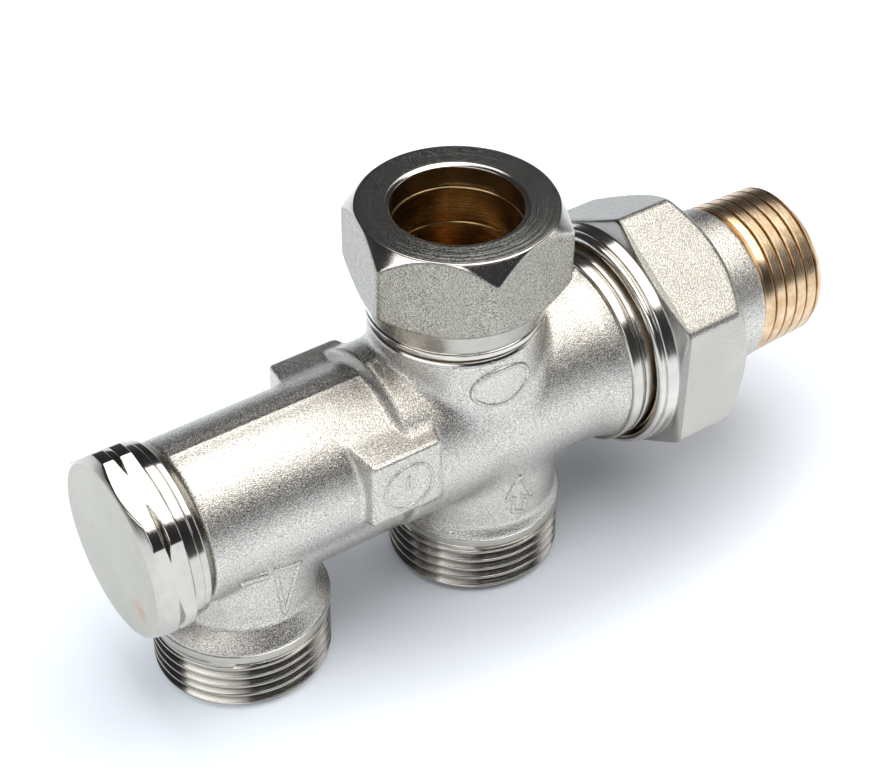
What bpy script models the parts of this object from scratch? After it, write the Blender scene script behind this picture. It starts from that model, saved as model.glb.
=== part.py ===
"""Radiator valve: pressed body, cap, spindle set, riser nut, inner sleeve and radiator union.

Metres, +Z up. The valve stands on its two bottom ports. X runs along the main bore, from the
blanking cap to the radiator tailpiece. The origin is under the middle of the overall length.
"""
import math

import bmesh
import bpy

# Working values

FIT_GAP = 0.0003            # space between pieces that touch
CUT_MARGIN = 0.002          # how far a cutter runs past the face it opens
CORNER_MARGIN = 0.0005      # how far a turned blank stands out past the corners cut from it
ROUND_STEPS = 32            # facets round a large piece
SMALL_STEPS = 16            # facets round a small inner piece
RING_STEPS = 5              # facets round the section of an O-ring
CURVE_STEPS = 5             # facets along a rounded shoulder
THREAD_DEPTH = 0.60         # of a visible thread, as a share of its pitch
SHARP_ANGLE = math.radians(32)

# Layout of the body

PORT_SPACING = 0.035        # between the two bottom ports
AXIS_HEIGHT = 0.0248        # main bore above the port faces
RISER_SET_BACK = 0.0033     # riser axis, measured back from the flow port
SHOULDER_REACH = 0.0079     # return port to the shoulder behind the cap
UNION_REACH = 0.0150        # flow port to the machined land at the union
STEP_SET_BACK = 0.0165      # flow port back to the middle of the step in the tube
STEP_LENGTH = 0.0024
LEFT_TUBE_D = 0.0200
RIGHT_TUBE_D = 0.0230

# Bottom ports

PORT_THREAD_D = 0.0220
PORT_THREAD_LENGTH = 0.0076
PORT_THREAD_PITCH = 0.0015
PORT_THREAD_TURNS = 4
PORT_CHAMFER = 0.0006
PORT_RUNOUT_DEPTH = 0.0007
PORT_RUNOUT_WIDTH = 0.0005
PORT_RIM_D = 0.0225
PORT_RIM_WIDTH = 0.0009
PORT_BORE_D = 0.0130
PORT_SEAT_D = 0.0176
PORT_SEAT_DEPTH = 0.0040
RETURN_NECK_D = 0.0182
RETURN_CONE_HEIGHT = 0.0028
FLOW_NECK_D = 0.0208
FLOW_CONE_HEIGHT = 0.0026
NECK_FLARE = 0.0007         # how much a neck grows where it runs into the tube
NECK_FLARE_HEIGHT = 0.0060

# Web and bypass duct under the tube between the ports

WEB_D = 0.0176
WEB_DROP = 0.0036           # web centre below the main bore
DUCT_D = 0.0124
DUCT_DROP = 0.0078

# Wrench pads

PAD_LENGTH = 0.0096
PAD_HEIGHT = 0.0090
PAD_SPAN = 0.0232           # from one pad face to the other
PAD_RISE = 0.0020           # pad centre above the main bore
PAD_SET_BACK = 0.0180       # flow port back to the pad centre
PAD_ROUND = 0.0007

# Riser neck and its nut, all built up from the pipe

PIPE_D = 0.0150
PIPE_CLEARANCE = 0.00025    # per side, in the socket
SPIGOT_WALL = 0.0022        # riser spigot, thread crest to pipe
RISER_THREAD_D = PIPE_D + 2 * SPIGOT_WALL
NECK_SHOULDER = 0.0010      # how far the neck stands out past its thread
RISER_NECK_D = RISER_THREAD_D + 2 * NECK_SHOULDER
RISER_NECK_RISE = 0.0142    # shoulder above the main bore
RISER_SPIGOT_LENGTH = 0.0088
RISER_FLARE = 0.0016
RISER_FLARE_HEIGHT = 0.0050
PIPE_STOP = 0.0012          # ledge that the pipe comes to rest on
RISER_BORE_D = PIPE_D - 2 * PIPE_STOP
PIPE_SOCKET_DEPTH = 0.0093
MOUTH_FLARE = 0.0016        # per side, for the foot of the cone ring
SOCKET_MOUTH_D = PIPE_D + 2 * MOUTH_FLARE
SOCKET_MOUTH_DEPTH = 0.0019

RISER_NUT_WALL = 0.0023     # thread crest to the middle of a flat
RISER_NUT_AF = RISER_THREAD_D + 2 * RISER_NUT_WALL
RISER_NUT_STANDOFF = 0.0005
RISER_NUT_LIP = 0.0028
RING_STAND_OUT = 0.0036     # room for the cone ring above the spigot
RISER_NUT_HEIGHT = RISER_SPIGOT_LENGTH - RISER_NUT_STANDOFF + RING_STAND_OUT + RISER_NUT_LIP
TURNED_MARGIN = 0.0001      # how far turned faces stay inside the flats of a hexagon
RISER_NUT_FACE_D = RISER_NUT_AF - 2 * TURNED_MARGIN
RISER_NUT_TOP_SLOPE = 1.30  # height per radius of the top chamfer
RISER_NUT_SKIRT_WALL = 0.0012
RISER_NUT_SKIRT_D = RISER_THREAD_D + 2 * RISER_NUT_SKIRT_WALL
RISER_NUT_SKIRT_LIP = 0.0011
RISER_NUT_SKIRT_TOP_D = RISER_NUT_AF - TURNED_MARGIN
RISER_NUT_SKIRT_HEIGHT = 0.0043
RISER_NUT_FOOT_SLOPE = 0.80
RISER_NUT_GROOVE = 0.00015
RISER_NUT_TURN = 14.4       # degrees, as it stands after tightening
RISER_NUT_STEP = 0.0005

RING_CLEARANCE = 0.00015    # per side, between pipe and cone ring
RING_WALL = 0.00175
RING_D = PIPE_D + 2 * RING_WALL
RING_FOOT_WALL = 0.00025
RING_HEAD_WALL = 0.0004

# Union end, nut and tailpiece, all built up from the union thread

UNION_THREAD_D = 0.0264
LAND_STEP = 0.0003          # per side, thread crest down to the land
LAND_D = UNION_THREAD_D - 2 * LAND_STEP
LAND_WIDTH = 0.0013
LAND_EDGE = 0.0004          # per side, land down to the rough body
LAND_FLARE_D = LAND_D - 2 * LAND_EDGE
LAND_FLARE_LENGTH = 0.0038
UNION_RUNOUT_DEPTH = 0.0009
UNION_RUNOUT_D = UNION_THREAD_D - 2 * UNION_RUNOUT_DEPTH
UNION_RUNOUT_WIDTH = 0.0009
UNION_THREAD_LENGTH = 0.0082
UNION_CHAMFER = 0.0008

UNION_NUT_SIDE_WALL = 0.0018  # thread crest to the middle of a flat
UNION_NUT_AF = UNION_THREAD_D + 2 * UNION_NUT_SIDE_WALL
UNION_NUT_STANDOFF = 0.0017
UNION_NUT_WALL = 0.0020
UNION_COLLAR_WALL = 0.00115
UNION_COLLAR_D = UNION_THREAD_D + 2 * UNION_COLLAR_WALL
UNION_COLLAR_LENGTH = 0.0021
UNION_COLLAR_GROOVE = 0.00018
UNION_FRONT_SLOPE = 0.50    # length per radius of the chamfer beside the collar
UNION_BACK_SLOPE = 0.95
UNION_FACE_MARGIN = 0.0005
UNION_FACE_D = UNION_NUT_AF - 2 * UNION_FACE_MARGIN
UNION_NUT_TURN = 30.0       # degrees, as it stands after tightening

TAIL_FLANGE_STEP = 0.0008   # per side, union thread crest down to the flange
TAIL_FLANGE_D = UNION_THREAD_D - 2 * TAIL_FLANGE_STEP
TAIL_FLANGE_WALL = 0.0018   # how far the flange stands out past the shank
TAIL_SHANK_D = TAIL_FLANGE_D - 2 * TAIL_FLANGE_WALL
TAIL_SHANK_SHOWN = 0.0069   # shank outside the nut
TAIL_FLANGE_WIDTH = 0.0021
TAIL_THREAD_D = 0.0209      # gauge diameter of an R 1/2 taper thread
TAIL_THREAD_TAPER = 1 / 16
TAIL_THREAD_LENGTH = 0.0109
TAIL_THREAD_PITCH = 0.001814  # 14 to the inch
TAIL_THREAD_TURNS = 5
TAIL_THREAD_END_D = TAIL_THREAD_D - TAIL_THREAD_TAPER * TAIL_THREAD_LENGTH
TAIL_RUNOUT_DEPTH = 0.0006
TAIL_CHAMFER = 0.0005
TAIL_WALL = 0.0027
TAIL_BORE_D = TAIL_THREAD_END_D - 2 * TAIL_WALL
TAIL_KEY_STEP = 0.00115     # bore down to the flats of the key hexagon
TAIL_KEY_AF = TAIL_BORE_D - 2 * TAIL_KEY_STEP
TAIL_KEY_LENGTH = 0.0100
TAIL_KEY_SET_IN = 0.0087    # from the outer end
TAIL_SEAL_WIDTH = 0.0015
TAIL_SEAL_WALL = 0.0023

# Cap and its spigot, built up from the cap's thread

CAP_THREAD_D = 0.0180
CAP_SIDE_WALL = 0.0020      # thread crest to the middle of a flat
CAP_AF = CAP_THREAD_D + 2 * CAP_SIDE_WALL
CAP_LENGTH = 0.0070
CAP_SHOWN_GAP = 0.0009
CAP_FACE_D = CAP_AF - 2 * TURNED_MARGIN
CAP_FACE_SLOPE = 0.80
CAP_CORNER_STAND = 0.0010   # how far the turned corners stand out past the flats
CAP_CORNER_D = CAP_AF + 2 * CAP_CORNER_STAND
CAP_HEX_LENGTH = 0.0046
CAP_NOTCH_D = CAP_AF + 2 * TURNED_MARGIN
CAP_NOTCH_WIDTH = 0.0007
CAP_NOTCH_SET_IN = 0.0025
CAP_COLLAR_D = CAP_AF - 2 * TURNED_MARGIN
CAP_COLLAR_LENGTH = 0.0014
CAP_GROOVE = 0.00020
CAP_RIM_STEP = 0.0002
CAP_RIM_D = CAP_COLLAR_D - 2 * CAP_RIM_STEP
CAP_WALL = 0.0018
CAP_SEAL_WIDTH = 0.0010
CAP_SEAL_BORE_D = 0.0100
SPIGOT_RELIEF_DEPTH = 0.0006
SPIGOT_RELIEF_D = CAP_THREAD_D - 2 * SPIGOT_RELIEF_DEPTH
SPIGOT_CHAMFER = 0.0004
SHOULDER_EDGE = 0.0003
CAP_CLEARANCE = 0.0008      # per side, spot facing that lets the cap turn past the port
CAP_CLEARANCE_D = CAP_CORNER_D + 2 * CAP_CLEARANCE
CAP_TURN = 17.0             # degrees, as the cap stands when tight

# Main bore

BONNET_WALL = 0.0016        # cap thread crest to the bonnet's bore
BONNET_BORE_D = CAP_THREAD_D - 2 * BONNET_WALL
PARTITION_BORE_D = 0.0134
PARTITION_LENGTH = 0.0070
CHAMBER_D = 0.0184
CHAMBER_SET_BACK = 0.0150   # flow port back to the start of the riser chamber
UNION_END_WALL = 0.0034     # union thread crest to the bore behind it
SLEEVE_SEAT_D = UNION_THREAD_D - 2 * UNION_END_WALL
SLEEVE_SEAT_REACH = 0.0142  # flow port to the shoulder the sleeve stops on
RING_GROOVE_DEPTH = 0.0008

# Bonnet and spindle

BONNET_SET_IN = 0.0002
BONNET_LIP = 0.0008
BONNET_NOSE_D = 0.0120
BONNET_BODY_LENGTH = 0.0065
BONNET_SLOT_WIDTH = 0.0012
BONNET_SLOT_DEPTH = 0.0006
SPINDLE_THREAD_D = 0.0082
SPINDLE_HEAD_LENGTH = 0.0020
SPINDLE_STEM_D = 0.0066
SPINDLE_TIP_D = 0.0036
SPINDLE_KEY_AF = 0.0040
SPINDLE_KEY_DEPTH = 0.0030
SPINDLE_TRAVEL = 0.0030     # from fully open to shut
CLIP_WIDTH = 0.0006
CLIP_OVERLAP = 0.0006       # how far the clip covers the spindle head
CLIP_GAP_WIDTH = 0.0020
STEM_SEAL_SECTION = 0.0010
STEM_SEAL_WALL = 0.0006     # bonnet wall beside each stem seal
BODY_SEAL_SECTION = 0.0012
BONNET_SEAL_SET_IN = 0.0049

# Shut-off disc

DISC_D = 0.0132
DISC_FLOOR = 0.0014
DISC_RIM = 0.0010
DISC_WALL = 0.0003
DISC_SEAL_WIDTH = 0.0017
DISC_NUT_AF = 0.0055
DISC_NUT_WIDTH = 0.0012
TIP_STAND_OUT = 0.0003

# Flow sleeve

SLEEVE_D = 0.0128
SLEEVE_BORE_D = 0.0104
SLEEVE_SEAT_RING_D = 0.0112
SLEEVE_THROAT_D = 0.0084
SLEEVE_NOSE = 0.0013
SLEEVE_COLLAR_LENGTH = 0.0071
BYPASS_HOLE_D = 0.0030
BYPASS_SET_IN = 0.0040      # from the start of the chamber
SLEEVE_RING_WIDTH = 0.0007
SLEEVE_RING_WALL = 0.0021
SLEEVE_RING_GAP_WIDTH = 0.0040

# Colours: base colour, roughness, metallic

NICKEL_BLASTED = ((0.62, 0.60, 0.56), 0.42, 1.0)
NICKEL_BRIGHT = ((0.74, 0.72, 0.68), 0.16, 1.0)
BRASS = ((0.78, 0.55, 0.28), 0.28, 1.0)
BRASS_DARK = ((0.46, 0.28, 0.11), 0.35, 1.0)
STEEL = ((0.52, 0.52, 0.53), 0.30, 1.0)
SEAL_BLACK = ((0.02, 0.02, 0.02), 0.60, 0.0)
SEAL_FIBRE = ((0.45, 0.16, 0.10), 0.80, 0.0)

# Stations along X, measured from the return port, and heights above the floor

RISER_X = PORT_SPACING - RISER_SET_BACK
SHOULDER_X = -SHOULDER_REACH
CAP_REAR_X = SHOULDER_X - CAP_SHOWN_GAP
CAP_FACE_X = CAP_REAR_X - CAP_LENGTH
CAP_FLOOR_X = CAP_FACE_X + CAP_WALL
SPIGOT_END_X = CAP_FLOOR_X + CAP_SEAL_WIDTH + 2 * FIT_GAP

BONNET_LEFT_X = SPIGOT_END_X + BONNET_SET_IN
CLIP_GROOVE_X = BONNET_LEFT_X + BONNET_LIP
CLIP_X = CLIP_GROOVE_X + FIT_GAP
HEAD_LEFT_X = CLIP_X + CLIP_WIDTH + FIT_GAP
HEAD_RIGHT_X = HEAD_LEFT_X + SPINDLE_HEAD_LENGTH
STEM_BORE_X = HEAD_RIGHT_X + SPINDLE_TRAVEL + FIT_GAP
STEM_GROOVE_WIDTH = STEM_SEAL_SECTION + 2 * FIT_GAP
STEM_GROOVE_1_X = STEM_BORE_X + STEM_SEAL_WALL
STEM_GROOVE_2_X = STEM_GROOVE_1_X + STEM_GROOVE_WIDTH + STEM_SEAL_WALL
BONNET_RIGHT_X = STEM_GROOVE_2_X + STEM_GROOVE_WIDTH + STEM_SEAL_WALL

LAND_X = PORT_SPACING + UNION_REACH
RUNOUT_X = LAND_X + LAND_WIDTH
UNION_THREAD_X = RUNOUT_X + UNION_RUNOUT_WIDTH
BODY_END_X = UNION_THREAD_X + UNION_THREAD_LENGTH
UNION_NUT_X = RUNOUT_X + UNION_NUT_STANDOFF
TAIL_SEAL_X = BODY_END_X + FIT_GAP
FLANGE_X = TAIL_SEAL_X + TAIL_SEAL_WIDTH + FIT_GAP
FLANGE_BACK_X = FLANGE_X + TAIL_FLANGE_WIDTH
NUT_SHOULDER_X = FLANGE_BACK_X + FIT_GAP
UNION_NUT_END_X = NUT_SHOULDER_X + UNION_NUT_WALL
TAIL_THREAD_X = UNION_NUT_END_X + TAIL_SHANK_SHOWN
TAIL_END_X = TAIL_THREAD_X + TAIL_THREAD_LENGTH

CHAMBER_X = PORT_SPACING - CHAMBER_SET_BACK
PARTITION_X = CHAMBER_X - PARTITION_LENGTH
SLEEVE_SHOULDER_X = PORT_SPACING + SLEEVE_SEAT_REACH
COLLAR_X = SLEEVE_SHOULDER_X + FIT_GAP
COLLAR_END_X = COLLAR_X + SLEEVE_COLLAR_LENGTH
SLEEVE_RING_X = COLLAR_END_X + FIT_GAP
SEAT_X = PARTITION_X - SLEEVE_NOSE + FIT_GAP
SLEEVE_SEAL_X = PARTITION_X + PARTITION_LENGTH / 2
SEAL_FACE_X = SEAT_X - FIT_GAP - SPINDLE_TRAVEL
DISC_SEAL_X = SEAL_FACE_X - DISC_SEAL_WIDTH
DISC_X = DISC_SEAL_X - FIT_GAP - DISC_FLOOR
STEM_END_X = DISC_X - FIT_GAP
DISC_NUT_X = SEAL_FACE_X + FIT_GAP
TIP_END_X = DISC_NUT_X + DISC_NUT_WIDTH + TIP_STAND_OUT

PORT_RIM_Z = PORT_THREAD_LENGTH + PORT_RUNOUT_WIDTH
RISER_SHOULDER_Z = AXIS_HEIGHT + RISER_NECK_RISE
RISER_TOP_Z = RISER_SHOULDER_Z + RISER_SPIGOT_LENGTH
RISER_NUT_Z = RISER_SHOULDER_Z + RISER_NUT_STANDOFF
RISER_NUT_TOP_Z = RISER_NUT_Z + RISER_NUT_HEIGHT

ORIGIN_X = -(CAP_FACE_X + TAIL_END_X) / 2


# Helpers: profiles. A profile is a list of (along, radius) pairs, from low to high.

def smooth_run(start, end, steps=CURVE_STEPS):
    """Points of a soft S from start to end, both as (along, radius), without the first."""
    points = []
    for i in range(1, steps + 1):
        t = i / steps
        blend = (1 - math.cos(math.pi * t)) / 2
        points.append((start[0] + (end[0] - start[0]) * t, start[1] + (end[1] - start[1]) * blend))
    return points


def hollow_run(start, end, steps=CURVE_STEPS):
    """Points of a concave quarter round: flat at the start, steep at the end."""
    points = []
    for i in range(1, steps + 1):
        a = math.pi / 2 * i / steps
        points.append((start[0] + (end[0] - start[0]) * math.sin(a),
                       start[1] + (end[1] - start[1]) * (1 - math.cos(a))))
    return points


def hex_corner(across_flats):
    """Corner radius of a hexagon."""
    return across_flats / 2 / math.cos(math.radians(30))


# Helpers: objects

def thread_run(last_crest, pitch, turns, taper=0.0):
    """Crests and roots of a thread, drawn as ridges side by side up to its last crest."""
    run = []
    for half_turn in range(2 * turns, -1, -1):
        back = half_turn * pitch / 2
        root = THREAD_DEPTH * pitch * (half_turn % 2)
        run.append((last_crest[0] - back, last_crest[1] + taper / 2 * back - root))
    return run


def clear_scene():
    for obj in list(bpy.data.objects):
        bpy.data.objects.remove(obj, do_unlink=True)


def make_collection(name):
    collection = bpy.data.collections.new(name)
    bpy.context.scene.collection.children.link(collection)
    return collection


def make_material(name, look):
    colour, roughness, metallic = look
    material = bpy.data.materials.new(name)
    material.use_nodes = True
    shader = material.node_tree.nodes["Principled BSDF"]
    shader.inputs["Base Color"].default_value = (*colour, 1.0)
    shader.inputs["Roughness"].default_value = roughness
    shader.inputs["Metallic"].default_value = metallic
    material.diffuse_color = (*colour, 1.0)
    return material


def place(obj, axis, at, turn=0.0):
    """Put a piece whose own Z is its axis at a point, pointing along X, Y or Z."""
    spin = math.radians(turn)
    if axis == "X":
        obj.rotation_mode = "ZYX"
        obj.rotation_euler = (spin, math.pi / 2, 0.0)
    elif axis == "Y":
        obj.rotation_euler = (-math.pi / 2, spin, 0.0)
    else:
        obj.rotation_euler = (0.0, 0.0, spin)
    obj.location = at


def turned(name, points, axis, at, closed=False, steps=ROUND_STEPS, turn=0.0):
    """Revolve a profile of (along, radius) pairs, given in the order that runs down its outside."""
    mesh = bpy.data.meshes.new(name)
    work = bmesh.new()
    verts = [work.verts.new((radius, 0.0, along)) for along, radius in points]
    for a, b in zip(verts, verts[1:]):
        work.edges.new((a, b))
    if closed:
        work.edges.new((verts[-1], verts[0]))
    work.to_mesh(mesh)
    work.free()
    obj = bpy.data.objects.new(name, mesh)
    PARTS.objects.link(obj)
    screw = obj.modifiers.new("turn", "SCREW")
    screw.axis = "Z"
    screw.angle = 2 * math.pi
    screw.steps = steps
    screw.render_steps = steps
    screw.use_merge_vertices = True
    screw.merge_threshold = 0.000001
    place(obj, axis, at, turn)
    return obj


def turned_solid(name, outer, axis, at, **options):
    """A turned piece with no bore."""
    points = [(outer[-1][0], 0.0)] + outer[::-1] + [(outer[0][0], 0.0)]
    return turned(name, points, axis, at, **options)


def turned_ring(name, outer, inner, axis, at, **options):
    """A turned piece with a bore right through it."""
    return turned(name, outer[::-1] + inner, axis, at, closed=True, **options)


def turned_cup(name, outer, inner, axis, at, **options):
    """A turned piece that is closed at its low end and open at its high end."""
    points = [(inner[0][0], 0.0)] + inner + outer[::-1] + [(outer[0][0], 0.0)]
    return turned(name, points, axis, at, **options)


def prism(name, sides, radius, low, high, axis, at, turn=0.0):
    """A straight prism or cylinder from low to high along its axis."""
    mesh = bpy.data.meshes.new(name)
    work = bmesh.new()
    bmesh.ops.create_cone(work, cap_ends=True, segments=sides, radius1=radius, radius2=radius,
                          depth=high - low)
    bmesh.ops.translate(work, verts=work.verts, vec=(0.0, 0.0, (high + low) / 2))
    work.to_mesh(mesh)
    work.free()
    obj = bpy.data.objects.new(name, mesh)
    PARTS.objects.link(obj)
    place(obj, axis, at, turn)
    return obj


def block(name, size, at, rounding=0.0):
    """A box, with its edges rounded where a radius is given."""
    mesh = bpy.data.meshes.new(name)
    work = bmesh.new()
    bmesh.ops.create_cube(work, size=1.0)
    bmesh.ops.scale(work, verts=work.verts, vec=size)
    work.to_mesh(mesh)
    work.free()
    obj = bpy.data.objects.new(name, mesh)
    PARTS.objects.link(obj)
    obj.location = at
    if rounding > 0:
        bevel = obj.modifiers.new("edges", "BEVEL")
        bevel.width = rounding
        bevel.segments = 2
        bevel.limit_method = "ANGLE"
    return obj


def o_ring(name, inner_radius, section, axis, at):
    """A rubber ring by the radius of its hole and the thickness of its cord."""
    bpy.ops.mesh.primitive_torus_add(major_radius=inner_radius + section / 2,
                                     minor_radius=section / 2,
                                     major_segments=SMALL_STEPS, minor_segments=RING_STEPS)
    obj = bpy.context.object
    obj.name = name
    obj.data.name = name
    for collection in list(obj.users_collection):
        collection.objects.unlink(obj)
    PARTS.objects.link(obj)
    place(obj, axis, at)
    return obj


def combine(obj, tool, operation):
    """Add, cut or intersect with another solid, which then becomes a guide."""
    step = obj.modifiers.new(tool.name, "BOOLEAN")
    step.operation = operation
    step.solver = "EXACT"
    step.object = tool
    PARTS.objects.unlink(tool)
    CUTTERS.objects.link(tool)
    tool.parent = ROOT
    tool.hide_render = True
    tool.display_type = "WIRE"


def finish(obj, material):
    """Fix the shape, shade it and hang it on the common origin."""
    obj.parent = ROOT
    bpy.context.view_layer.update()
    evaluated = obj.evaluated_get(bpy.context.evaluated_depsgraph_get())
    mesh = bpy.data.meshes.new_from_object(evaluated)
    mesh.name = obj.name
    mesh.materials.clear()
    mesh.materials.append(material)
    mesh.shade_smooth()
    mesh.set_sharp_from_angle(angle=SHARP_ANGLE)
    obj.modifiers.clear()
    obj.data = mesh
    return obj


def along_bore(x=0.0):
    """A point on the main bore's axis."""
    return (x, 0.0, AXIS_HEIGHT)


# The pressed body

def port_profile(neck_d, cone_height, top_z):
    """Outside of a bottom port, from its face up to where it ends inside the tube."""
    thread = PORT_THREAD_D / 2
    rim = PORT_RIM_D / 2
    neck = neck_d / 2
    rim_top = PORT_RIM_Z + PORT_RIM_WIDTH
    cone_top = rim_top + cone_height
    flare_z = AXIS_HEIGHT - NECK_FLARE_HEIGHT
    last_crest = (PORT_THREAD_LENGTH - PORT_THREAD_PITCH / 2, thread)
    profile = [(0.0, thread - PORT_CHAMFER)]
    profile += thread_run(last_crest, PORT_THREAD_PITCH, PORT_THREAD_TURNS)
    profile += [(PORT_THREAD_LENGTH, thread - PORT_RUNOUT_DEPTH),
                (PORT_RIM_Z, thread - PORT_RUNOUT_DEPTH),
                (PORT_RIM_Z, rim),
                (rim_top, rim)]
    profile += hollow_run((cone_top, neck), (rim_top, rim), 4)[-2::-1]
    profile += [(cone_top, neck), (cone_top + cone_height, neck)]
    profile += smooth_run((cone_top + cone_height, neck), (flare_z, neck + NECK_FLARE), 3)
    profile += [(top_z, neck + NECK_FLARE)]
    return profile


def tube_profile():
    """Outside of the body along the main bore, from the cap spigot to the union thread."""
    spigot = CAP_THREAD_D / 2
    left = LEFT_TUBE_D / 2
    right = RIGHT_TUBE_D / 2
    step_x = PORT_SPACING - STEP_SET_BACK
    thread = UNION_THREAD_D / 2
    profile = [(SPIGOT_END_X, spigot - SPIGOT_CHAMFER),
               (SPIGOT_END_X + SPIGOT_CHAMFER, spigot),
               (CAP_REAR_X, spigot),
               (CAP_REAR_X, SPIGOT_RELIEF_D / 2),
               (SHOULDER_X, SPIGOT_RELIEF_D / 2),
               (SHOULDER_X, left - SHOULDER_EDGE),
               (SHOULDER_X + SHOULDER_EDGE, left),
               (step_x - STEP_LENGTH / 2, left)]
    profile += smooth_run((step_x - STEP_LENGTH / 2, left), (step_x + STEP_LENGTH / 2, right))
    profile += [(LAND_X - LAND_FLARE_LENGTH, right)]
    profile += hollow_run((LAND_X - LAND_FLARE_LENGTH, right), (LAND_X, LAND_FLARE_D / 2), 4)
    profile += [(LAND_X, LAND_D / 2),
                (RUNOUT_X, LAND_D / 2),
                (RUNOUT_X, UNION_RUNOUT_D / 2),
                (UNION_THREAD_X, UNION_RUNOUT_D / 2),
                (UNION_THREAD_X, thread),
                (BODY_END_X - UNION_CHAMFER, thread),
                (BODY_END_X, thread - UNION_CHAMFER)]
    return profile


def riser_profile():
    """Outside of the riser neck, from inside the tube to the top of its spigot."""
    neck = RISER_NECK_D / 2
    thread = RISER_THREAD_D / 2
    flare_z = AXIS_HEIGHT + RISER_FLARE_HEIGHT
    profile = [(AXIS_HEIGHT, neck + RISER_FLARE), (flare_z, neck + RISER_FLARE)]
    profile += smooth_run((flare_z, neck + RISER_FLARE), (flare_z + RISER_FLARE_HEIGHT, neck), 4)
    profile += [(RISER_SHOULDER_Z - SHOULDER_EDGE, neck),
                (RISER_SHOULDER_Z, neck - SHOULDER_EDGE),
                (RISER_SHOULDER_Z, thread),
                (RISER_TOP_Z, thread)]
    return profile


def main_bore_profile():
    """The stepped hole that runs the length of the body."""
    ring_groove = SLEEVE_SEAT_D / 2 + RING_GROOVE_DEPTH
    groove_end = SLEEVE_RING_X + SLEEVE_RING_WIDTH + FIT_GAP
    return [(SPIGOT_END_X - CUT_MARGIN, BONNET_BORE_D / 2),
            (PARTITION_X, BONNET_BORE_D / 2),
            (PARTITION_X, PARTITION_BORE_D / 2),
            (CHAMBER_X, PARTITION_BORE_D / 2),
            (CHAMBER_X, CHAMBER_D / 2),
            (SLEEVE_SHOULDER_X, CHAMBER_D / 2),
            (SLEEVE_SHOULDER_X, SLEEVE_SEAT_D / 2),
            (COLLAR_END_X, SLEEVE_SEAT_D / 2),
            (COLLAR_END_X, ring_groove),
            (groove_end, ring_groove),
            (groove_end, SLEEVE_SEAT_D / 2),
            (BODY_END_X + CUT_MARGIN, SLEEVE_SEAT_D / 2)]


def port_bore_profile():
    """The hole of a bottom port with its conical seat, up to the main bore."""
    bore = PORT_BORE_D / 2
    seat = PORT_SEAT_D / 2
    slope = (seat - bore) / PORT_SEAT_DEPTH
    return [(-CUT_MARGIN, seat + slope * CUT_MARGIN), (PORT_SEAT_DEPTH, bore), (AXIS_HEIGHT, bore)]


def riser_bore_profile():
    """The pipe socket in the riser neck, its conical mouth and the passage under it."""
    socket = PIPE_D / 2 + PIPE_CLEARANCE
    mouth = SOCKET_MOUTH_D / 2
    slope = (mouth - socket) / SOCKET_MOUTH_DEPTH
    stop_z = RISER_TOP_Z - PIPE_SOCKET_DEPTH
    return [(AXIS_HEIGHT, RISER_BORE_D / 2),
            (stop_z, RISER_BORE_D / 2),
            (stop_z, socket),
            (RISER_TOP_Z - SOCKET_MOUTH_DEPTH, socket),
            (RISER_TOP_Z + CUT_MARGIN, mouth + slope * CUT_MARGIN)]


def build_body(material):
    body = turned_solid("valve_body", tube_profile(), "X", along_bore())
    port_top_z = AXIS_HEIGHT - FIT_GAP
    return_port = turned_solid("return_port",
                               port_profile(RETURN_NECK_D, RETURN_CONE_HEIGHT, port_top_z),
                               "Z", (0.0, 0.0, 0.0))
    facing = prism("cap_clearance", ROUND_STEPS, CAP_CLEARANCE_D / 2, CAP_FACE_X,
                   SHOULDER_X + SHOULDER_EDGE, "X", along_bore())
    combine(return_port, facing, "DIFFERENCE")
    adds = [return_port,
            turned_solid("flow_port", port_profile(FLOW_NECK_D, FLOW_CONE_HEIGHT, port_top_z),
                         "Z", (PORT_SPACING, 0.0, 0.0)),
            turned_solid("riser_neck", riser_profile(), "Z", (RISER_X, 0.0, 0.0)),
            prism("web", ROUND_STEPS, WEB_D / 2, 0.0, PORT_SPACING, "X",
                  (0.0, 0.0, AXIS_HEIGHT - WEB_DROP)),
            prism("duct", ROUND_STEPS, DUCT_D / 2, 0.0, PORT_SPACING, "X",
                  (0.0, 0.0, AXIS_HEIGHT - DUCT_DROP)),
            block("wrench_pads", (PAD_LENGTH, PAD_SPAN, PAD_HEIGHT),
                  (PORT_SPACING - PAD_SET_BACK, 0.0, AXIS_HEIGHT + PAD_RISE), PAD_ROUND)]
    for piece in adds:
        combine(body, piece, "UNION")
    cuts = [turned_solid("main_bore", main_bore_profile(), "X", along_bore()),
            turned_solid("return_bore", port_bore_profile(), "Z", (0.0, 0.0, 0.0)),
            turned_solid("flow_bore", port_bore_profile(), "Z", (PORT_SPACING, 0.0, 0.0)),
            turned_solid("riser_bore", riser_bore_profile(), "Z", (RISER_X, 0.0, 0.0))]
    for piece in cuts:
        combine(body, piece, "DIFFERENCE")
    return finish(body, material)


# Cap, bonnet and spindle

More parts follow.
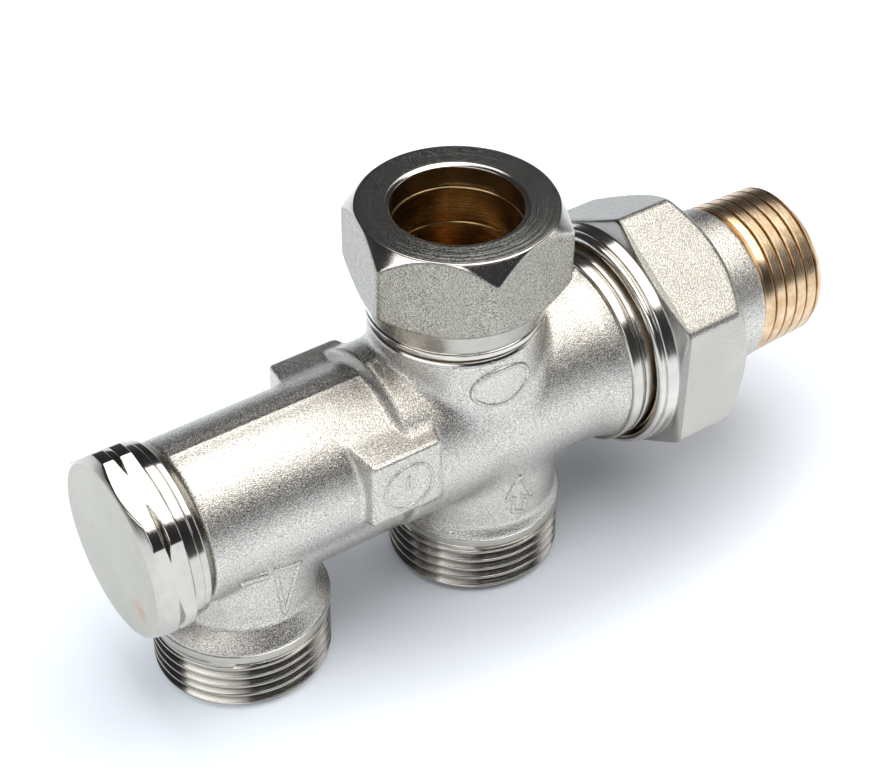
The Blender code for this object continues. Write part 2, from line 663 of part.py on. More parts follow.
def build_cap(material):
    corner = CAP_CORNER_D / 2
    face = CAP_FACE_D / 2
    notch = CAP_NOTCH_D / 2
    collar = CAP_COLLAR_D / 2
    rim = CAP_RIM_D / 2
    hex_end = CAP_FACE_X + CAP_HEX_LENGTH
    collar_end = hex_end + CAP_COLLAR_LENGTH
    notch_x = CAP_FACE_X + CAP_NOTCH_SET_IN
    outer = [(CAP_FACE_X, face),
             (CAP_FACE_X + CAP_FACE_SLOPE * (corner - face), corner),
             (notch_x - CAP_NOTCH_WIDTH / 2, corner),
             (notch_x, notch),
             (notch_x + CAP_NOTCH_WIDTH / 2, corner),
             (hex_end - CAP_GROOVE, corner),
             (hex_end, collar - CAP_GROOVE),
             (hex_end + CAP_GROOVE, collar),
             (collar_end - CAP_GROOVE, collar),
             (collar_end, rim - CAP_GROOVE),
             (collar_end + CAP_GROOVE, rim),
             (CAP_REAR_X - CAP_GROOVE, rim),
             (CAP_REAR_X, rim - CAP_GROOVE)]
    bore = CAP_THREAD_D / 2 + FIT_GAP
    inner = [(CAP_FLOOR_X, bore), (CAP_REAR_X, bore)]
    cap = turned_cup("blanking_cap", outer, inner, "X", along_bore())
    flats = prism("cap_flats", 6, hex_corner(CAP_AF), CAP_FACE_X - CUT_MARGIN,
                  CAP_REAR_X + CUT_MARGIN, "X", along_bore(), CAP_TURN)
    combine(cap, flats, "INTERSECT")
    return finish(cap, material)


def build_cap_seal(material):
    low = CAP_FLOOR_X + FIT_GAP
    high = low + CAP_SEAL_WIDTH
    outside = CAP_THREAD_D / 2
    bore = CAP_SEAL_BORE_D / 2
    seal = turned_ring("cap_seal", [(low, outside), (high, outside)], [(low, bore), (high, bore)],
                       "X", along_bore(), steps=SMALL_STEPS)
    return finish(seal, material)


def build_bonnet(material):
    outside = BONNET_BORE_D / 2 - FIT_GAP
    nose = BONNET_NOSE_D / 2
    body_end = BONNET_LEFT_X + BONNET_BODY_LENGTH
    seal_x = BONNET_LEFT_X + BONNET_SEAL_SET_IN
    seal_half = BODY_SEAL_SECTION / 2 + FIT_GAP
    seal_floor = BONNET_BORE_D / 2 - BODY_SEAL_SECTION - 2 * FIT_GAP
    outer = [(BONNET_LEFT_X, outside),
             (seal_x - seal_half, outside),
             (seal_x - seal_half, seal_floor),
             (seal_x + seal_half, seal_floor),
             (seal_x + seal_half, outside),
             (body_end, outside),
             (body_end, nose),
             (BONNET_RIGHT_X, nose)]
    thread_bore = SPINDLE_THREAD_D / 2 + FIT_GAP
    stem_bore = SPINDLE_STEM_D / 2 + FIT_GAP
    clip_groove = thread_bore + RING_GROOVE_DEPTH
    clip_groove_end = HEAD_LEFT_X
    stem_groove = stem_bore + STEM_SEAL_SECTION + FIT_GAP
    inner = [(BONNET_LEFT_X, thread_bore),
             (CLIP_GROOVE_X, thread_bore),
             (CLIP_GROOVE_X, clip_groove),
             (clip_groove_end, clip_groove),
             (clip_groove_end, thread_bore),
             (STEM_BORE_X, thread_bore),
             (STEM_BORE_X, stem_bore)]
    for groove_x in (STEM_GROOVE_1_X, STEM_GROOVE_2_X):
        inner += [(groove_x, stem_bore),
                  (groove_x, stem_groove),
                  (groove_x + STEM_GROOVE_WIDTH, stem_groove),
                  (groove_x + STEM_GROOVE_WIDTH, stem_bore)]
    inner += [(BONNET_RIGHT_X, stem_bore)]
    bonnet = turned_ring("bonnet", outer, inner, "X", along_bore(), steps=SMALL_STEPS)
    slot = block("bonnet_slot", (2 * BONNET_SLOT_DEPTH, BONNET_BORE_D, BONNET_SLOT_WIDTH),
                 along_bore(BONNET_LEFT_X))
    combine(bonnet, slot, "DIFFERENCE")
    return finish(bonnet, material)


def build_bonnet_seals(material):
    seal_x = BONNET_LEFT_X + BONNET_SEAL_SET_IN
    hole = BONNET_BORE_D / 2 - BODY_SEAL_SECTION - FIT_GAP
    finish(o_ring("bonnet_seal", hole, BODY_SEAL_SECTION, "X", along_bore(seal_x)), material)
    stem_hole = SPINDLE_STEM_D / 2 + FIT_GAP
    for name, groove_x in (("spindle_seal_outer", STEM_GROOVE_1_X),
                           ("spindle_seal_inner", STEM_GROOVE_2_X)):
        at = along_bore(groove_x + STEM_GROOVE_WIDTH / 2)
        finish(o_ring(name, stem_hole, STEM_SEAL_SECTION, "X", at), material)


def spring_ring(name, low, width, outside, hole, gap_width, material):
    """A flat ring with a gap at the top, so that it can be sprung into its groove."""
    high = low + width
    ring = turned_ring(name, [(low, outside), (high, outside)], [(low, hole), (high, hole)],
                       "X", along_bore(), steps=SMALL_STEPS)
    gap = block(name + "_gap", (2 * width, gap_width, 2 * outside),
                along_bore(low + width / 2))
    gap.location.z += outside
    combine(ring, gap, "DIFFERENCE")
    return finish(ring, material)


def build_spindle_clip(material):
    groove = SPINDLE_THREAD_D / 2 + FIT_GAP + RING_GROOVE_DEPTH
    hole = SPINDLE_THREAD_D / 2 - CLIP_OVERLAP
    return spring_ring("spindle_clip", CLIP_X, CLIP_WIDTH, groove - FIT_GAP, hole,
                       CLIP_GAP_WIDTH, material)


def build_spindle(material):
    head = SPINDLE_THREAD_D / 2
    stem = SPINDLE_STEM_D / 2
    tip = SPINDLE_TIP_D / 2
    outer = [(HEAD_LEFT_X, head),
             (HEAD_RIGHT_X, head),
             (HEAD_RIGHT_X, stem),
             (STEM_END_X, stem),
             (STEM_END_X, tip),
             (TIP_END_X, tip)]
    spindle = turned_solid("spindle", outer, "X", along_bore(), steps=SMALL_STEPS)
    socket = prism("spindle_socket", 6, hex_corner(SPINDLE_KEY_AF), HEAD_LEFT_X - CUT_MARGIN,
                   HEAD_LEFT_X + SPINDLE_KEY_DEPTH, "X", along_bore())
    combine(spindle, socket, "DIFFERENCE")
    return finish(spindle, material)


# Shut-off disc

def build_disc(material):
    outside = DISC_D / 2
    hole = SPINDLE_TIP_D / 2 + FIT_GAP
    floor_x = DISC_X + DISC_FLOOR
    rim_x = floor_x + DISC_RIM
    outer = [(DISC_X, outside), (rim_x, outside)]
    inner = [(DISC_X, hole),
             (floor_x, hole),
             (floor_x, outside - DISC_WALL),
             (rim_x, outside - DISC_WALL)]
    disc = turned_ring("shut_off_disc", outer, inner, "X", along_bore(), steps=SMALL_STEPS)
    return finish(disc, material)


def build_disc_seal(material):
    outside = DISC_D / 2 - DISC_WALL - FIT_GAP
    hole = SPINDLE_TIP_D / 2 + FIT_GAP
    seal = turned_ring("disc_seal", [(DISC_SEAL_X, outside), (SEAL_FACE_X, outside)],
                       [(DISC_SEAL_X, hole), (SEAL_FACE_X, hole)], "X", along_bore(),
                       steps=SMALL_STEPS)
    return finish(seal, material)


def build_disc_nut(material):
    corner = hex_corner(DISC_NUT_AF)
    hole = SPINDLE_TIP_D / 2 + FIT_GAP
    high = DISC_NUT_X + DISC_NUT_WIDTH
    nut = prism("disc_nut", 6, corner, DISC_NUT_X, high, "X", along_bore())
    bore = prism("disc_nut_bore", SMALL_STEPS, hole, DISC_NUT_X - CUT_MARGIN, high + CUT_MARGIN,
                 "X", along_bore())
    combine(nut, bore, "DIFFERENCE")
    return finish(nut, material)


# Flow sleeve with its seals and ring

def build_sleeve(material):
    seat_ring = SLEEVE_SEAT_RING_D / 2
    outside = SLEEVE_D / 2
    collar = SLEEVE_SEAT_D / 2 - FIT_GAP
    throat = SLEEVE_THROAT_D / 2
    bore = SLEEVE_BORE_D / 2
    seal_half = BODY_SEAL_SECTION / 2 + FIT_GAP
    left_floor = PARTITION_BORE_D / 2 - BODY_SEAL_SECTION - 2 * FIT_GAP
    right_floor = SLEEVE_SEAT_D / 2 - BODY_SEAL_SECTION - 2 * FIT_GAP
    collar_seal_x = (COLLAR_X + COLLAR_END_X) / 2
    outer = [(SEAT_X, seat_ring),
             (PARTITION_X + FIT_GAP, outside),
             (SLEEVE_SEAL_X - seal_half, outside),
             (SLEEVE_SEAL_X - seal_half, left_floor),
             (SLEEVE_SEAL_X + seal_half, left_floor),
             (SLEEVE_SEAL_X + seal_half, outside),
             (COLLAR_X, outside),
             (COLLAR_X, collar),
             (collar_seal_x - seal_half, collar),
             (collar_seal_x - seal_half, right_floor),
             (collar_seal_x + seal_half, right_floor),
             (collar_seal_x + seal_half, collar),
             (COLLAR_END_X, collar)]
    inner = [(SEAT_X, throat), (CHAMBER_X - SLEEVE_NOSE, throat), (CHAMBER_X, bore),
             (COLLAR_END_X, bore)]
    sleeve = turned_ring("flow_sleeve", outer, inner, "X", along_bore(), steps=SMALL_STEPS)
    for axis in ("Y", "Z"):
        hole = prism("bypass_holes_" + axis, SMALL_STEPS // 2, BYPASS_HOLE_D / 2, -SLEEVE_D,
                     SLEEVE_D, axis, along_bore(CHAMBER_X + BYPASS_SET_IN))
        combine(sleeve, hole, "DIFFERENCE")
    return finish(sleeve, material)


def build_sleeve_seals(material):
    left_hole = PARTITION_BORE_D / 2 - BODY_SEAL_SECTION - FIT_GAP
    right_hole = SLEEVE_SEAT_D / 2 - BODY_SEAL_SECTION - FIT_GAP
    for name, hole, x in (("sleeve_seal_left", left_hole, SLEEVE_SEAL_X),
                          ("sleeve_seal_right", right_hole, (COLLAR_X + COLLAR_END_X) / 2)):
        finish(o_ring(name, hole, BODY_SEAL_SECTION, "X", along_bore(x)), material)


def build_sleeve_ring(material):
    outside = SLEEVE_SEAT_D / 2 + RING_GROOVE_DEPTH - FIT_GAP
    return spring_ring("sleeve_ring", SLEEVE_RING_X, SLEEVE_RING_WIDTH, outside,
                       outside - SLEEVE_RING_WALL, SLEEVE_RING_GAP_WIDTH, material)


# Riser nut and cone ring

def riser_nut_cone():
    """Low end, high end and small radius of the cone inside the riser nut."""
    small = PIPE_D / 2 + RING_CLEARANCE + RISER_NUT_STEP
    high_z = RISER_NUT_TOP_Z - RISER_NUT_LIP
    low_z = high_z - (RISER_THREAD_D / 2 + FIT_GAP - small)
    return low_z, high_z, small


def build_riser_nut(material):
    corner = hex_corner(RISER_NUT_AF) + CORNER_MARGIN
    face = RISER_NUT_FACE_D / 2
    skirt = RISER_NUT_SKIRT_D / 2
    skirt_top = RISER_NUT_SKIRT_TOP_D / 2
    skirt_z = RISER_NUT_Z + RISER_NUT_SKIRT_HEIGHT
    lip_z = RISER_NUT_Z + RISER_NUT_SKIRT_LIP
    groove = RISER_NUT_GROOVE
    outer = [(RISER_NUT_Z, skirt - groove),
             (RISER_NUT_Z + groove, skirt),
             (lip_z - groove, skirt),
             (lip_z, skirt - groove),
             (lip_z + groove, skirt),
             (skirt_z, skirt_top),
             (skirt_z + RISER_NUT_FOOT_SLOPE * (corner - skirt_top), corner),
             (RISER_NUT_TOP_Z - RISER_NUT_TOP_SLOPE * (corner - face), corner),
             (RISER_NUT_TOP_Z, face)]
    low_z, high_z, small = riser_nut_cone()
    bore = RISER_THREAD_D / 2 + FIT_GAP
    pipe_hole = PIPE_D / 2 + PIPE_CLEARANCE
    inner = [(RISER_NUT_Z, bore), (low_z, bore), (high_z, small), (high_z, pipe_hole),
             (RISER_NUT_TOP_Z, pipe_hole)]
    nut = turned_ring("compression_nut", outer, inner, "Z", (RISER_X, 0.0, 0.0))
    flats = prism("riser_nut_flats", 6, hex_corner(RISER_NUT_AF), RISER_NUT_Z - CUT_MARGIN,
                  RISER_NUT_TOP_Z + CUT_MARGIN, "Z", (RISER_X, 0.0, 0.0), RISER_NUT_TURN + 30.0)
    combine(nut, flats, "INTERSECT")
    return finish(nut, material)


def build_cone_ring(material):
    hole = PIPE_D / 2 + RING_CLEARANCE
    outside = RING_D / 2
    low_z, high_z, small = riser_nut_cone()
    head_z = high_z - FIT_GAP
    head = hole + RING_HEAD_WALL
    band_high_z = head_z - (outside - head)
    foot = hole + RING_FOOT_WALL
    mouth = SOCKET_MOUTH_D / 2
    socket = PIPE_D / 2 + PIPE_CLEARANCE
    slope = SOCKET_MOUTH_DEPTH / (mouth - socket)
    side_gap = FIT_GAP * math.sqrt(1 + slope * slope)
    mouth_z = RISER_TOP_Z - SOCKET_MOUTH_DEPTH + side_gap
    foot_z = mouth_z + slope * (foot - socket)
    outer = [(foot_z, foot),
             (foot_z + slope * (outside - foot), outside),
             (band_high_z, outside),
             (head_z, head)]
    ring = turned_ring("compression_ring", outer, [(foot_z, hole), (head_z, hole)],
                       "Z", (RISER_X, 0.0, 0.0))
    return finish(ring, material)


# Union nut, tailpiece and its seal

def build_union_nut(material):
    corner = hex_corner(UNION_NUT_AF) + CORNER_MARGIN
    collar = UNION_COLLAR_D / 2
    face = UNION_FACE_D / 2
    collar_end = UNION_NUT_X + UNION_COLLAR_LENGTH
    groove = UNION_COLLAR_GROOVE
    middle = (UNION_NUT_X + collar_end) / 2
    outer = [(UNION_NUT_X, collar - 2 * groove),
             (UNION_NUT_X + 2 * groove, collar),
             (middle - groove, collar),
             (middle, collar - groove),
             (middle + groove, collar),
             (collar_end, collar),
             (collar_end + UNION_FRONT_SLOPE * (corner - collar), corner),
             (UNION_NUT_END_X - UNION_BACK_SLOPE * (corner - face), corner),
             (UNION_NUT_END_X, face)]
    bore = UNION_THREAD_D / 2 + FIT_GAP
    hole = TAIL_SHANK_D / 2 + FIT_GAP
    inner = [(UNION_NUT_X, bore), (NUT_SHOULDER_X, bore), (NUT_SHOULDER_X, hole),
             (UNION_NUT_END_X, hole)]
    nut = turned_ring("union_nut", outer, inner, "X", along_bore())
    flats = prism("union_nut_flats", 6, hex_corner(UNION_NUT_AF), UNION_NUT_X - CUT_MARGIN,
                  UNION_NUT_END_X + CUT_MARGIN, "X", along_bore(), UNION_NUT_TURN)
    combine(nut, flats, "INTERSECT")
    return finish(nut, material)


def build_tailpiece(material):
    flange = TAIL_FLANGE_D / 2
    shank = TAIL_SHANK_D / 2
    thread = TAIL_THREAD_D / 2
    thread_end = TAIL_THREAD_END_D / 2
    last_crest = (TAIL_END_X - TAIL_THREAD_PITCH / 2,
                  thread_end + TAIL_THREAD_TAPER / 2 * TAIL_THREAD_PITCH / 2)
    outer = [(FLANGE_X, flange - TAIL_CHAMFER),
             (FLANGE_X + TAIL_CHAMFER, flange),
             (FLANGE_BACK_X, flange),
             (FLANGE_BACK_X, shank),
             (TAIL_THREAD_X, shank),
             (TAIL_THREAD_X, thread - TAIL_RUNOUT_DEPTH)]
    outer += thread_run(last_crest, TAIL_THREAD_PITCH, TAIL_THREAD_TURNS, TAIL_THREAD_TAPER)
    outer += [(TAIL_END_X, thread_end - TAIL_CHAMFER)]
    bore = TAIL_BORE_D / 2
    key = TAIL_KEY_AF / 2
    key_end = TAIL_END_X - TAIL_KEY_SET_IN
    key_start = key_end - TAIL_KEY_LENGTH
    inner = [(FLANGE_X, bore), (key_start, bore), (key_start, key), (key_end, key),
             (key_end, bore), (TAIL_END_X, bore)]
    tail = turned_ring("tailpiece", outer, inner, "X", along_bore())
    broach = prism("tail_key_hole", 6, hex_corner(TAIL_KEY_AF), key_start - CUT_MARGIN,
                   key_end + CUT_MARGIN, "X", along_bore())
    combine(tail, broach, "DIFFERENCE")
    return finish(tail, material)


def build_tail_seal(material):
    low = TAIL_SEAL_X
    high = TAIL_SEAL_X + TAIL_SEAL_WIDTH
    outside = TAIL_FLANGE_D / 2
    hole = outside - TAIL_SEAL_WALL
    seal = turned_ring("tail_seal", [(low, outside), (high, outside)], [(low, hole), (high, hole)],
                       "X", along_bore(), steps=SMALL_STEPS)
    return finish(seal, material)


# Build

clear_scene()
PARTS = make_collection("radiator_valve")
CUTTERS = make_collection("cutters")
ROOT = bpy.data.objects.new("valve_origin", None)
ROOT.location = (ORIGIN_X, 0.0, 0.0)
PARTS.objects.link(ROOT)

blasted = make_material("nickel_blasted", NICKEL_BLASTED)
bright = make_material("nickel_bright", NICKEL_BRIGHT)
brass = make_material("brass_threads", BRASS)
brass_dark = make_material("brass_inner", BRASS_DARK)
steel = make_material("spring_steel", STEEL)
rubber = make_material("seal_rubber", SEAL_BLACK)
fibre = make_material("seal_fibre", SEAL_FIBRE)

build_body(blasted)
build_cap(bright)
build_cap_seal(fibre)
build_bonnet(brass)
build_bonnet_seals(rubber)
build_spindle_clip(steel)
build_spindle(brass)
build_disc(brass)
build_disc_seal(rubber)
build_disc_nut(brass)
build_sleeve(brass)
build_sleeve_seals(rubber)
build_sleeve_ring(steel)
build_riser_nut(blasted)
build_cone_ring(brass_dark)
build_union_nut(blasted)
build_tailpiece(brass)
build_tail_seal(fibre)
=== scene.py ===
"""Looks of the radiator valve: forged body, machined ends, nuts, threads, light and camera.

Lengths are in millimetres until a mesh is made. Stations along the bore are measured from the
return port's axis, as in the CAD source, and heights from the floor. Materials, lamps and the
floor are in metres.
"""
import math

import bmesh
import bpy
import numpy as np
from mathutils import Matrix, Vector


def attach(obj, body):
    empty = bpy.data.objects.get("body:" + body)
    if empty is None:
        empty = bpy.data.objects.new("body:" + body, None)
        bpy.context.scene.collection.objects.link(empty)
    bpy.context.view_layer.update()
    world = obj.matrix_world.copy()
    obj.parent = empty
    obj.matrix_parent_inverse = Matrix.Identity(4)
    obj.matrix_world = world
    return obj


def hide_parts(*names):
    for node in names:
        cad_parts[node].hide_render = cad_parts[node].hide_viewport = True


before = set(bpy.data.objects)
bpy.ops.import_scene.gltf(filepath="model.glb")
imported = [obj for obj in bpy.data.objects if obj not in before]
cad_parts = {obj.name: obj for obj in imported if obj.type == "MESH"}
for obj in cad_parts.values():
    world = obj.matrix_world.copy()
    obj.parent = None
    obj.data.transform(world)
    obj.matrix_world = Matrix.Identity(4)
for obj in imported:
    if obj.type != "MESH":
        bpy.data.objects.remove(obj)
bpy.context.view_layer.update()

MM = 0.001
RETURN_X = -34.45           # return port's axis in the row frame
FLOW_X = 35.0               # flow port, from the return port
RISER_X = 31.7
AXIS_Z = 24.8               # height of the main bore

# Radii of the bores
PORT_BORE = 6.5
SPIGOT_BORE = 7.4
UNION_BORE = 9.8
RISER_BORE = 6.3
SOCKET_BORE = 7.75
TAIL_BORE = 7.45

PIPE_PITCH = 1.814          # of the union's thread and the tail's: 14 to the inch

# Hexagons: size across flats, degrees to the first corner, rounding of the corners
CAP_HEXAGON = (22.0, 17.0, 0.25)
RISER_HEXAGON = (24.0, 14.4, 0.5)
UNION_HEXAGON = (30.0, 30.0, 0.9)
KEY_HEXAGON = (12.52, 0.0, 0.15)

# Steps once round a piece
ROUND_STEPS = 144
UNION_STEPS = 168
HEX_STEPS = 300
UNION_HEX_STEPS = 336
KEY_STEPS = 72

# What a point of an outline says of the surface after it
BLASTED, TURNED = 0.0, 1.0  # finish
NICKEL, BRASS, BORE = 0, 1, 2               # number of the material on the piece
FACED = 1                   # the same for the cut face of the cap and the riser nut


# Making a mesh

def add_object(name, data):
    obj = bpy.data.objects.new(name, data)
    bpy.context.scene.collection.objects.link(obj)
    return obj


def mesh_object(name, points, faces, slots=None, weld=False, **values):
    """A smooth piece with points in millimetres, and the values that its materials read."""
    mesh = bpy.data.meshes.new(name)
    placed = points.reshape(-1, 3) + (RETURN_X, 0.0, 0.0)
    mesh.from_pydata((placed * MM).tolist(), [], faces)
    if slots is not None:
        mesh.polygons.foreach_set("material_index", slots.astype(np.int32))
    for title in ("finish", "arc", "shade"):
        layer = mesh.attributes.new(title, "FLOAT", "POINT")
        if title in values:
            layer.data.foreach_set("value", values[title].reshape(-1).astype(np.float32))
    work = bmesh.new()
    work.from_mesh(mesh)
    if weld:
        bmesh.ops.remove_doubles(work, verts=work.verts, dist=0.002 * MM)
        bmesh.ops.dissolve_degenerate(work, edges=work.edges, dist=0.001 * MM)
    bmesh.ops.recalc_face_normals(work, faces=work.faces)
    work.to_mesh(mesh)
    work.free()
    mesh.shade_smooth()
    return add_object(name, mesh)


def dress(obj, body, slot, materials, *nodes):
    """Gives a piece its materials and puts it on its body in place of its CAD nodes."""
    for material in materials:
        obj.data.materials.append(material)
    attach(obj, body)
    if nodes:
        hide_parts(*nodes)


# Skins made of rows round an axis

FLAT_EDGE = 0.12            # width over which the finish changes at the edge of a flat
CUT_PART = 0.45             # most of a run that the rounding of one corner takes
THREAD_KNEE = 0.03          # rounding of crest and root, as a part of the pitch
KNEE_TOP, KNEE_FOOT = 0.88, 0.12            # height of the thread where its flank begins and ends
THREAD_END = 0.55           # height to which a thread dies away
LEAD_IN_DROP = 1.15         # how far the lead-in chamfer drops, in depths of the thread
ROOT_SHADE_TOP, ROOT_SHADE_FOOT = 0.7, 0.05           # painted shade in the thread roots grows below one height, down to the other


def smooth_min(a, b, blend):
    h = np.maximum(blend - np.abs(a - b), 0.0) / blend
    return np.minimum(a, b) - h * h * blend / 4


def smooth_step(low, high, value):
    t = np.clip((value - low) / (high - low), 0.0, 1.0)
    return t * t * (3 - 2 * t)


def turn_angles(steps, hexagon=None, bevel=0.02):
    """Angles once round, with extra ones beside the corners of a hexagon."""
    start = math.radians(hexagon[1]) if hexagon else 0.0
    angles = list(np.linspace(start, start + 2 * math.pi, steps + 1))
    if hexagon:
        for k in range(6):
            at = start + k * math.pi / 3
            angles += [at + bevel, at + math.pi / 3 - bevel]
    return np.array(sorted(angles))


def hexagon_radius(angles, across_flats, corner, rounding):
    """Distance from the axis to a hexagon with softly rounded corners."""
    sector = math.pi / 3
    a = np.mod(angles - math.radians(corner), sector) - sector / 2
    near = across_flats / 2 / np.cos(a)
    side = np.where(a > 0, a - sector, a + sector)
    far = across_flats / 2 / np.cos(side)
    return smooth_min(near, far, rounding)


def run(*points, finish=TURNED, material=NICKEL, shade=0.0):
    """Points (along, radius) of an outline that share their finish, material and painted shade."""
    return [(*point, finish, material, shade) for point in points]


def softened(points, edge, spacing=0.35):
    """Rounds the corners of a turned outline and fills its long runs with points.

    A point is (along, radius, finish, material, shade), and the last three hold up to the
    next point.
    """
    out = []
    for i, point in enumerate(points):
        p = np.array(point[:2], float)
        if i in (0, len(points) - 1):
            out.append((*p, *point[2:]))
            continue
        a = np.array(points[i - 1][:2], float) - p
        b = np.array(points[i + 1][:2], float) - p
        reach_a, reach_b = np.linalg.norm(a), np.linalg.norm(b)
        cut = min(edge, CUT_PART * reach_a, CUT_PART * reach_b)
        start, end = p + a / reach_a * cut, p + b / reach_b * cut
        for t in (0.0, 0.33, 0.67, 1.0):
            q = start * (1 - t) ** 2 + 2 * p * t * (1 - t) + end * t * t
            look = points[i - 1] if t < 0.5 else point
            out.append((*q, *look[2:]))
    dense = []
    for first, second in zip(out, out[1:]):
        count = max(1, math.ceil(math.dist(first[:2], second[:2]) / spacing))
        for k in range(count):
            t = k / count
            dense.append((first[0] + (second[0] - first[0]) * t,
                          first[1] + (second[1] - first[1]) * t, *first[2:]))
    dense.append(out[-1])
    return dense


def thread_rows(start, length, angles, material, major, depth, pitch, taper=0.0, lead_in=0.6,
                fade=0.0, crest_half=0.17, root_half=0.04):
    """Rows of a helical thread that begins at start and runs for length along the axis.

    A negative length runs towards lower stations. The lead-in chamfer is at the start, and
    fade is the length over which the thread dies away at the other end. The half widths of
    crest and root are parts of the pitch. The last entry of a row paints shade into the roots.
    """
    knee = THREAD_KNEE
    rise = np.array([crest_half - knee, crest_half, crest_half + knee, crest_half + 2 * knee,
                     0.5 - root_half - 2 * knee, 0.5 - root_half - knee, 0.5 - root_half])
    slope = (KNEE_TOP - KNEE_FOOT) / (rise[5] - rise[2])
    up = np.array([1.0, 1.0, KNEE_TOP, KNEE_TOP - slope * knee, KNEE_FOOT + slope * knee,
                   KNEE_FOOT, 0.0])
    if rise[3] >= rise[4]:
        rise, up = np.delete(rise, [3, 4]), np.delete(up, [3, 4])
    phase = np.concatenate([-rise[::-1], rise])
    height = np.concatenate([up[::-1], up])
    knots = np.concatenate([phase - 1, phase, phase + 1])
    values = np.tile(height, 3)
    reach = abs(length)
    direction = 1 if length > 0 else -1
    around = angles - angles[0]
    rows = []
    for turn in range(-1, math.ceil(reach / pitch) + 2):
        for offset in phase:
            along = np.clip((turn + offset) * pitch + pitch * around / (2 * math.pi), 0.0, reach)
            place = np.mod(along / pitch - around / (2 * math.pi), 1.0)
            crest = np.interp(place, knots, values)
            if fade > 0:
                crest = crest + (THREAD_END - crest) * smooth_step(reach - fade, reach, along)
            top = major - taper * (reach - along)
            radius = top - depth * (1 - crest)
            radius = np.minimum(radius, top - depth * LEAD_IN_DROP + along * depth / lead_in)
            # the last entry is painted shade, darkest in the roots
            rows.append((start + direction * along, radius, TURNED, material,
                         smooth_step(ROOT_SHADE_TOP, ROOT_SHADE_FOOT, crest)))
    return rows


def skin(name, rows, angles, axis, at, hexagon=None, flat_finish=BLASTED, edge_blend=0.3,
         closed=True):
    """A skin of rows round the axis through at; closed joins the last row to the first."""
    count = len(angles)
    along, radius, finish, shade = (
        np.array([np.broadcast_to(row[k], count) for row in rows], float) for k in (0, 1, 2, 4))
    if hexagon:
        limit = hexagon_radius(angles, *hexagon)[None, :]
        flat = np.clip((radius - limit) / FLAT_EDGE + 0.5, 0.0, 1.0)
        finish = finish + (flat_finish - finish) * flat
        radius = smooth_min(radius, limit, edge_blend)
    middle = np.stack([along.mean(1), radius.mean(1)], 1)
    steps = np.linalg.norm(np.diff(middle, axis=0), axis=1)
    arc = np.repeat(np.concatenate([[0.0], np.cumsum(steps)])[:, None], count, 1)
    cos, sin = np.cos(angles)[None, :], np.sin(angles)[None, :]
    if axis == "X":
        points = np.stack([along + at[0], radius * cos + at[1], radius * sin + at[2]], -1)
    else:
        points = np.stack([radius * cos + at[0], radius * sin + at[1], along + at[2]], -1)
    index = np.arange(len(rows) * count).reshape(len(rows), count)
    upper = np.concatenate([index[1:], index[:1]]) if closed else index[1:]
    lower = index if closed else index[:-1]
    faces = np.stack([lower[:, :-1], lower[:, 1:], upper[:, 1:], upper[:, :-1]], -1).reshape(-1, 4)
    slots = np.repeat([row[3] for row in rows][:len(lower)], count - 1)
    return mesh_object(name, points, faces.tolist(), slots, True, finish=finish, arc=arc,
                       shade=shade)


# Materials

GRAIN_DEPTH, FINE_DEPTH = 0.00007, 0.00004
RING_DEPTH = 0.00002
MOTTLE_DEPTH = 0.00003


class Graph:
    """Short names for building a node tree."""

    def __init__(self, name):
        self.material = bpy.data.materials.new(name)
        self.material.use_nodes = True
        self.tree = self.material.node_tree
        self.shader = self.tree.nodes["Principled BSDF"]

    def node(self, kind, **settings):
        node = self.tree.nodes.new(kind)
        for key, value in settings.items():
            setattr(node, key, value)
        return node

    def feed(self, socket, value):
        """Links a socket to an output, or sets it to a number, a place or a colour."""
        if hasattr(value, "links"):
            self.tree.links.new(value, socket)
        else:
            socket.default_value = (*value, 1.0) if socket.type == "RGBA" else value

    def surface(self, title, value):
        self.feed(self.shader.inputs[title], value)

    def compute(self, kind, operation, *values):
        node = self.node(kind, operation=operation)
        for socket, value in zip(node.inputs, values):
            self.feed(socket, value)
        return node.outputs

    def attribute(self, name):
        return self.node("ShaderNodeAttribute", attribute_name=name).outputs["Fac"]

    def place(self):
        return self.node("ShaderNodeTexCoord").outputs["Object"]

    def noise(self, scale, detail=2.0, roughness=0.5):
        """Noise in space."""
        return self.noise_of("3D", "Vector", self.place(), scale, detail, roughness)

    def ring_noise(self, scale, detail=3.0, roughness=0.7):
        """Noise along the outline of a turned piece, which gives rings."""
        return self.noise_of("1D", "W", self.attribute("arc"), scale, detail, roughness)

    def noise_of(self, dimensions, title, source, scale, detail, roughness):
        node = self.node("ShaderNodeTexNoise", noise_dimensions=dimensions)
        self.feed(node.inputs["Scale"], scale)
        self.feed(node.inputs["Detail"], detail)
        self.feed(node.inputs["Roughness"], roughness)
        self.feed(node.inputs[title], source)
        return node.outputs["Fac"]

    def range(self, source, low, high, to_low, to_high, **settings):
        node = self.node("ShaderNodeMapRange", **settings)
        for title, value in (("Value", source), ("From Min", low), ("From Max", high),
                             ("To Min", to_low), ("To Max", to_high)):
            self.feed(node.inputs[title], value)
        return node.outputs["Result"]

    def spread(self, noise, to_low=0.0, to_high=1.0):
        """Brings the values that most of a noise has to a range."""
        return self.range(noise, 0.3, 0.7, to_low, to_high)

    def mix(self, factor, a, b, data_type="RGBA", **settings):
        node = self.node("ShaderNodeMix", data_type=data_type, **settings)
        for title, value in (("Factor", factor), ("A", a), ("B", b)):
            self.feed(node.inputs[title], value)
        return node.outputs["Result"]

    def blend(self, factor, a, b):
        return self.mix(factor, a, b, "FLOAT")

    def bump(self, height, strength, distance, normal=None):
        node = self.node("ShaderNodeBump")
        self.feed(node.inputs["Distance"], distance)
        self.feed(node.inputs["Strength"], strength)
        self.feed(node.inputs["Height"], height)
        if normal is not None:
            self.feed(node.inputs["Normal"], normal)
        return node.outputs["Normal"]


def scaled(tint, by):
    return tuple(c * by for c in tint)


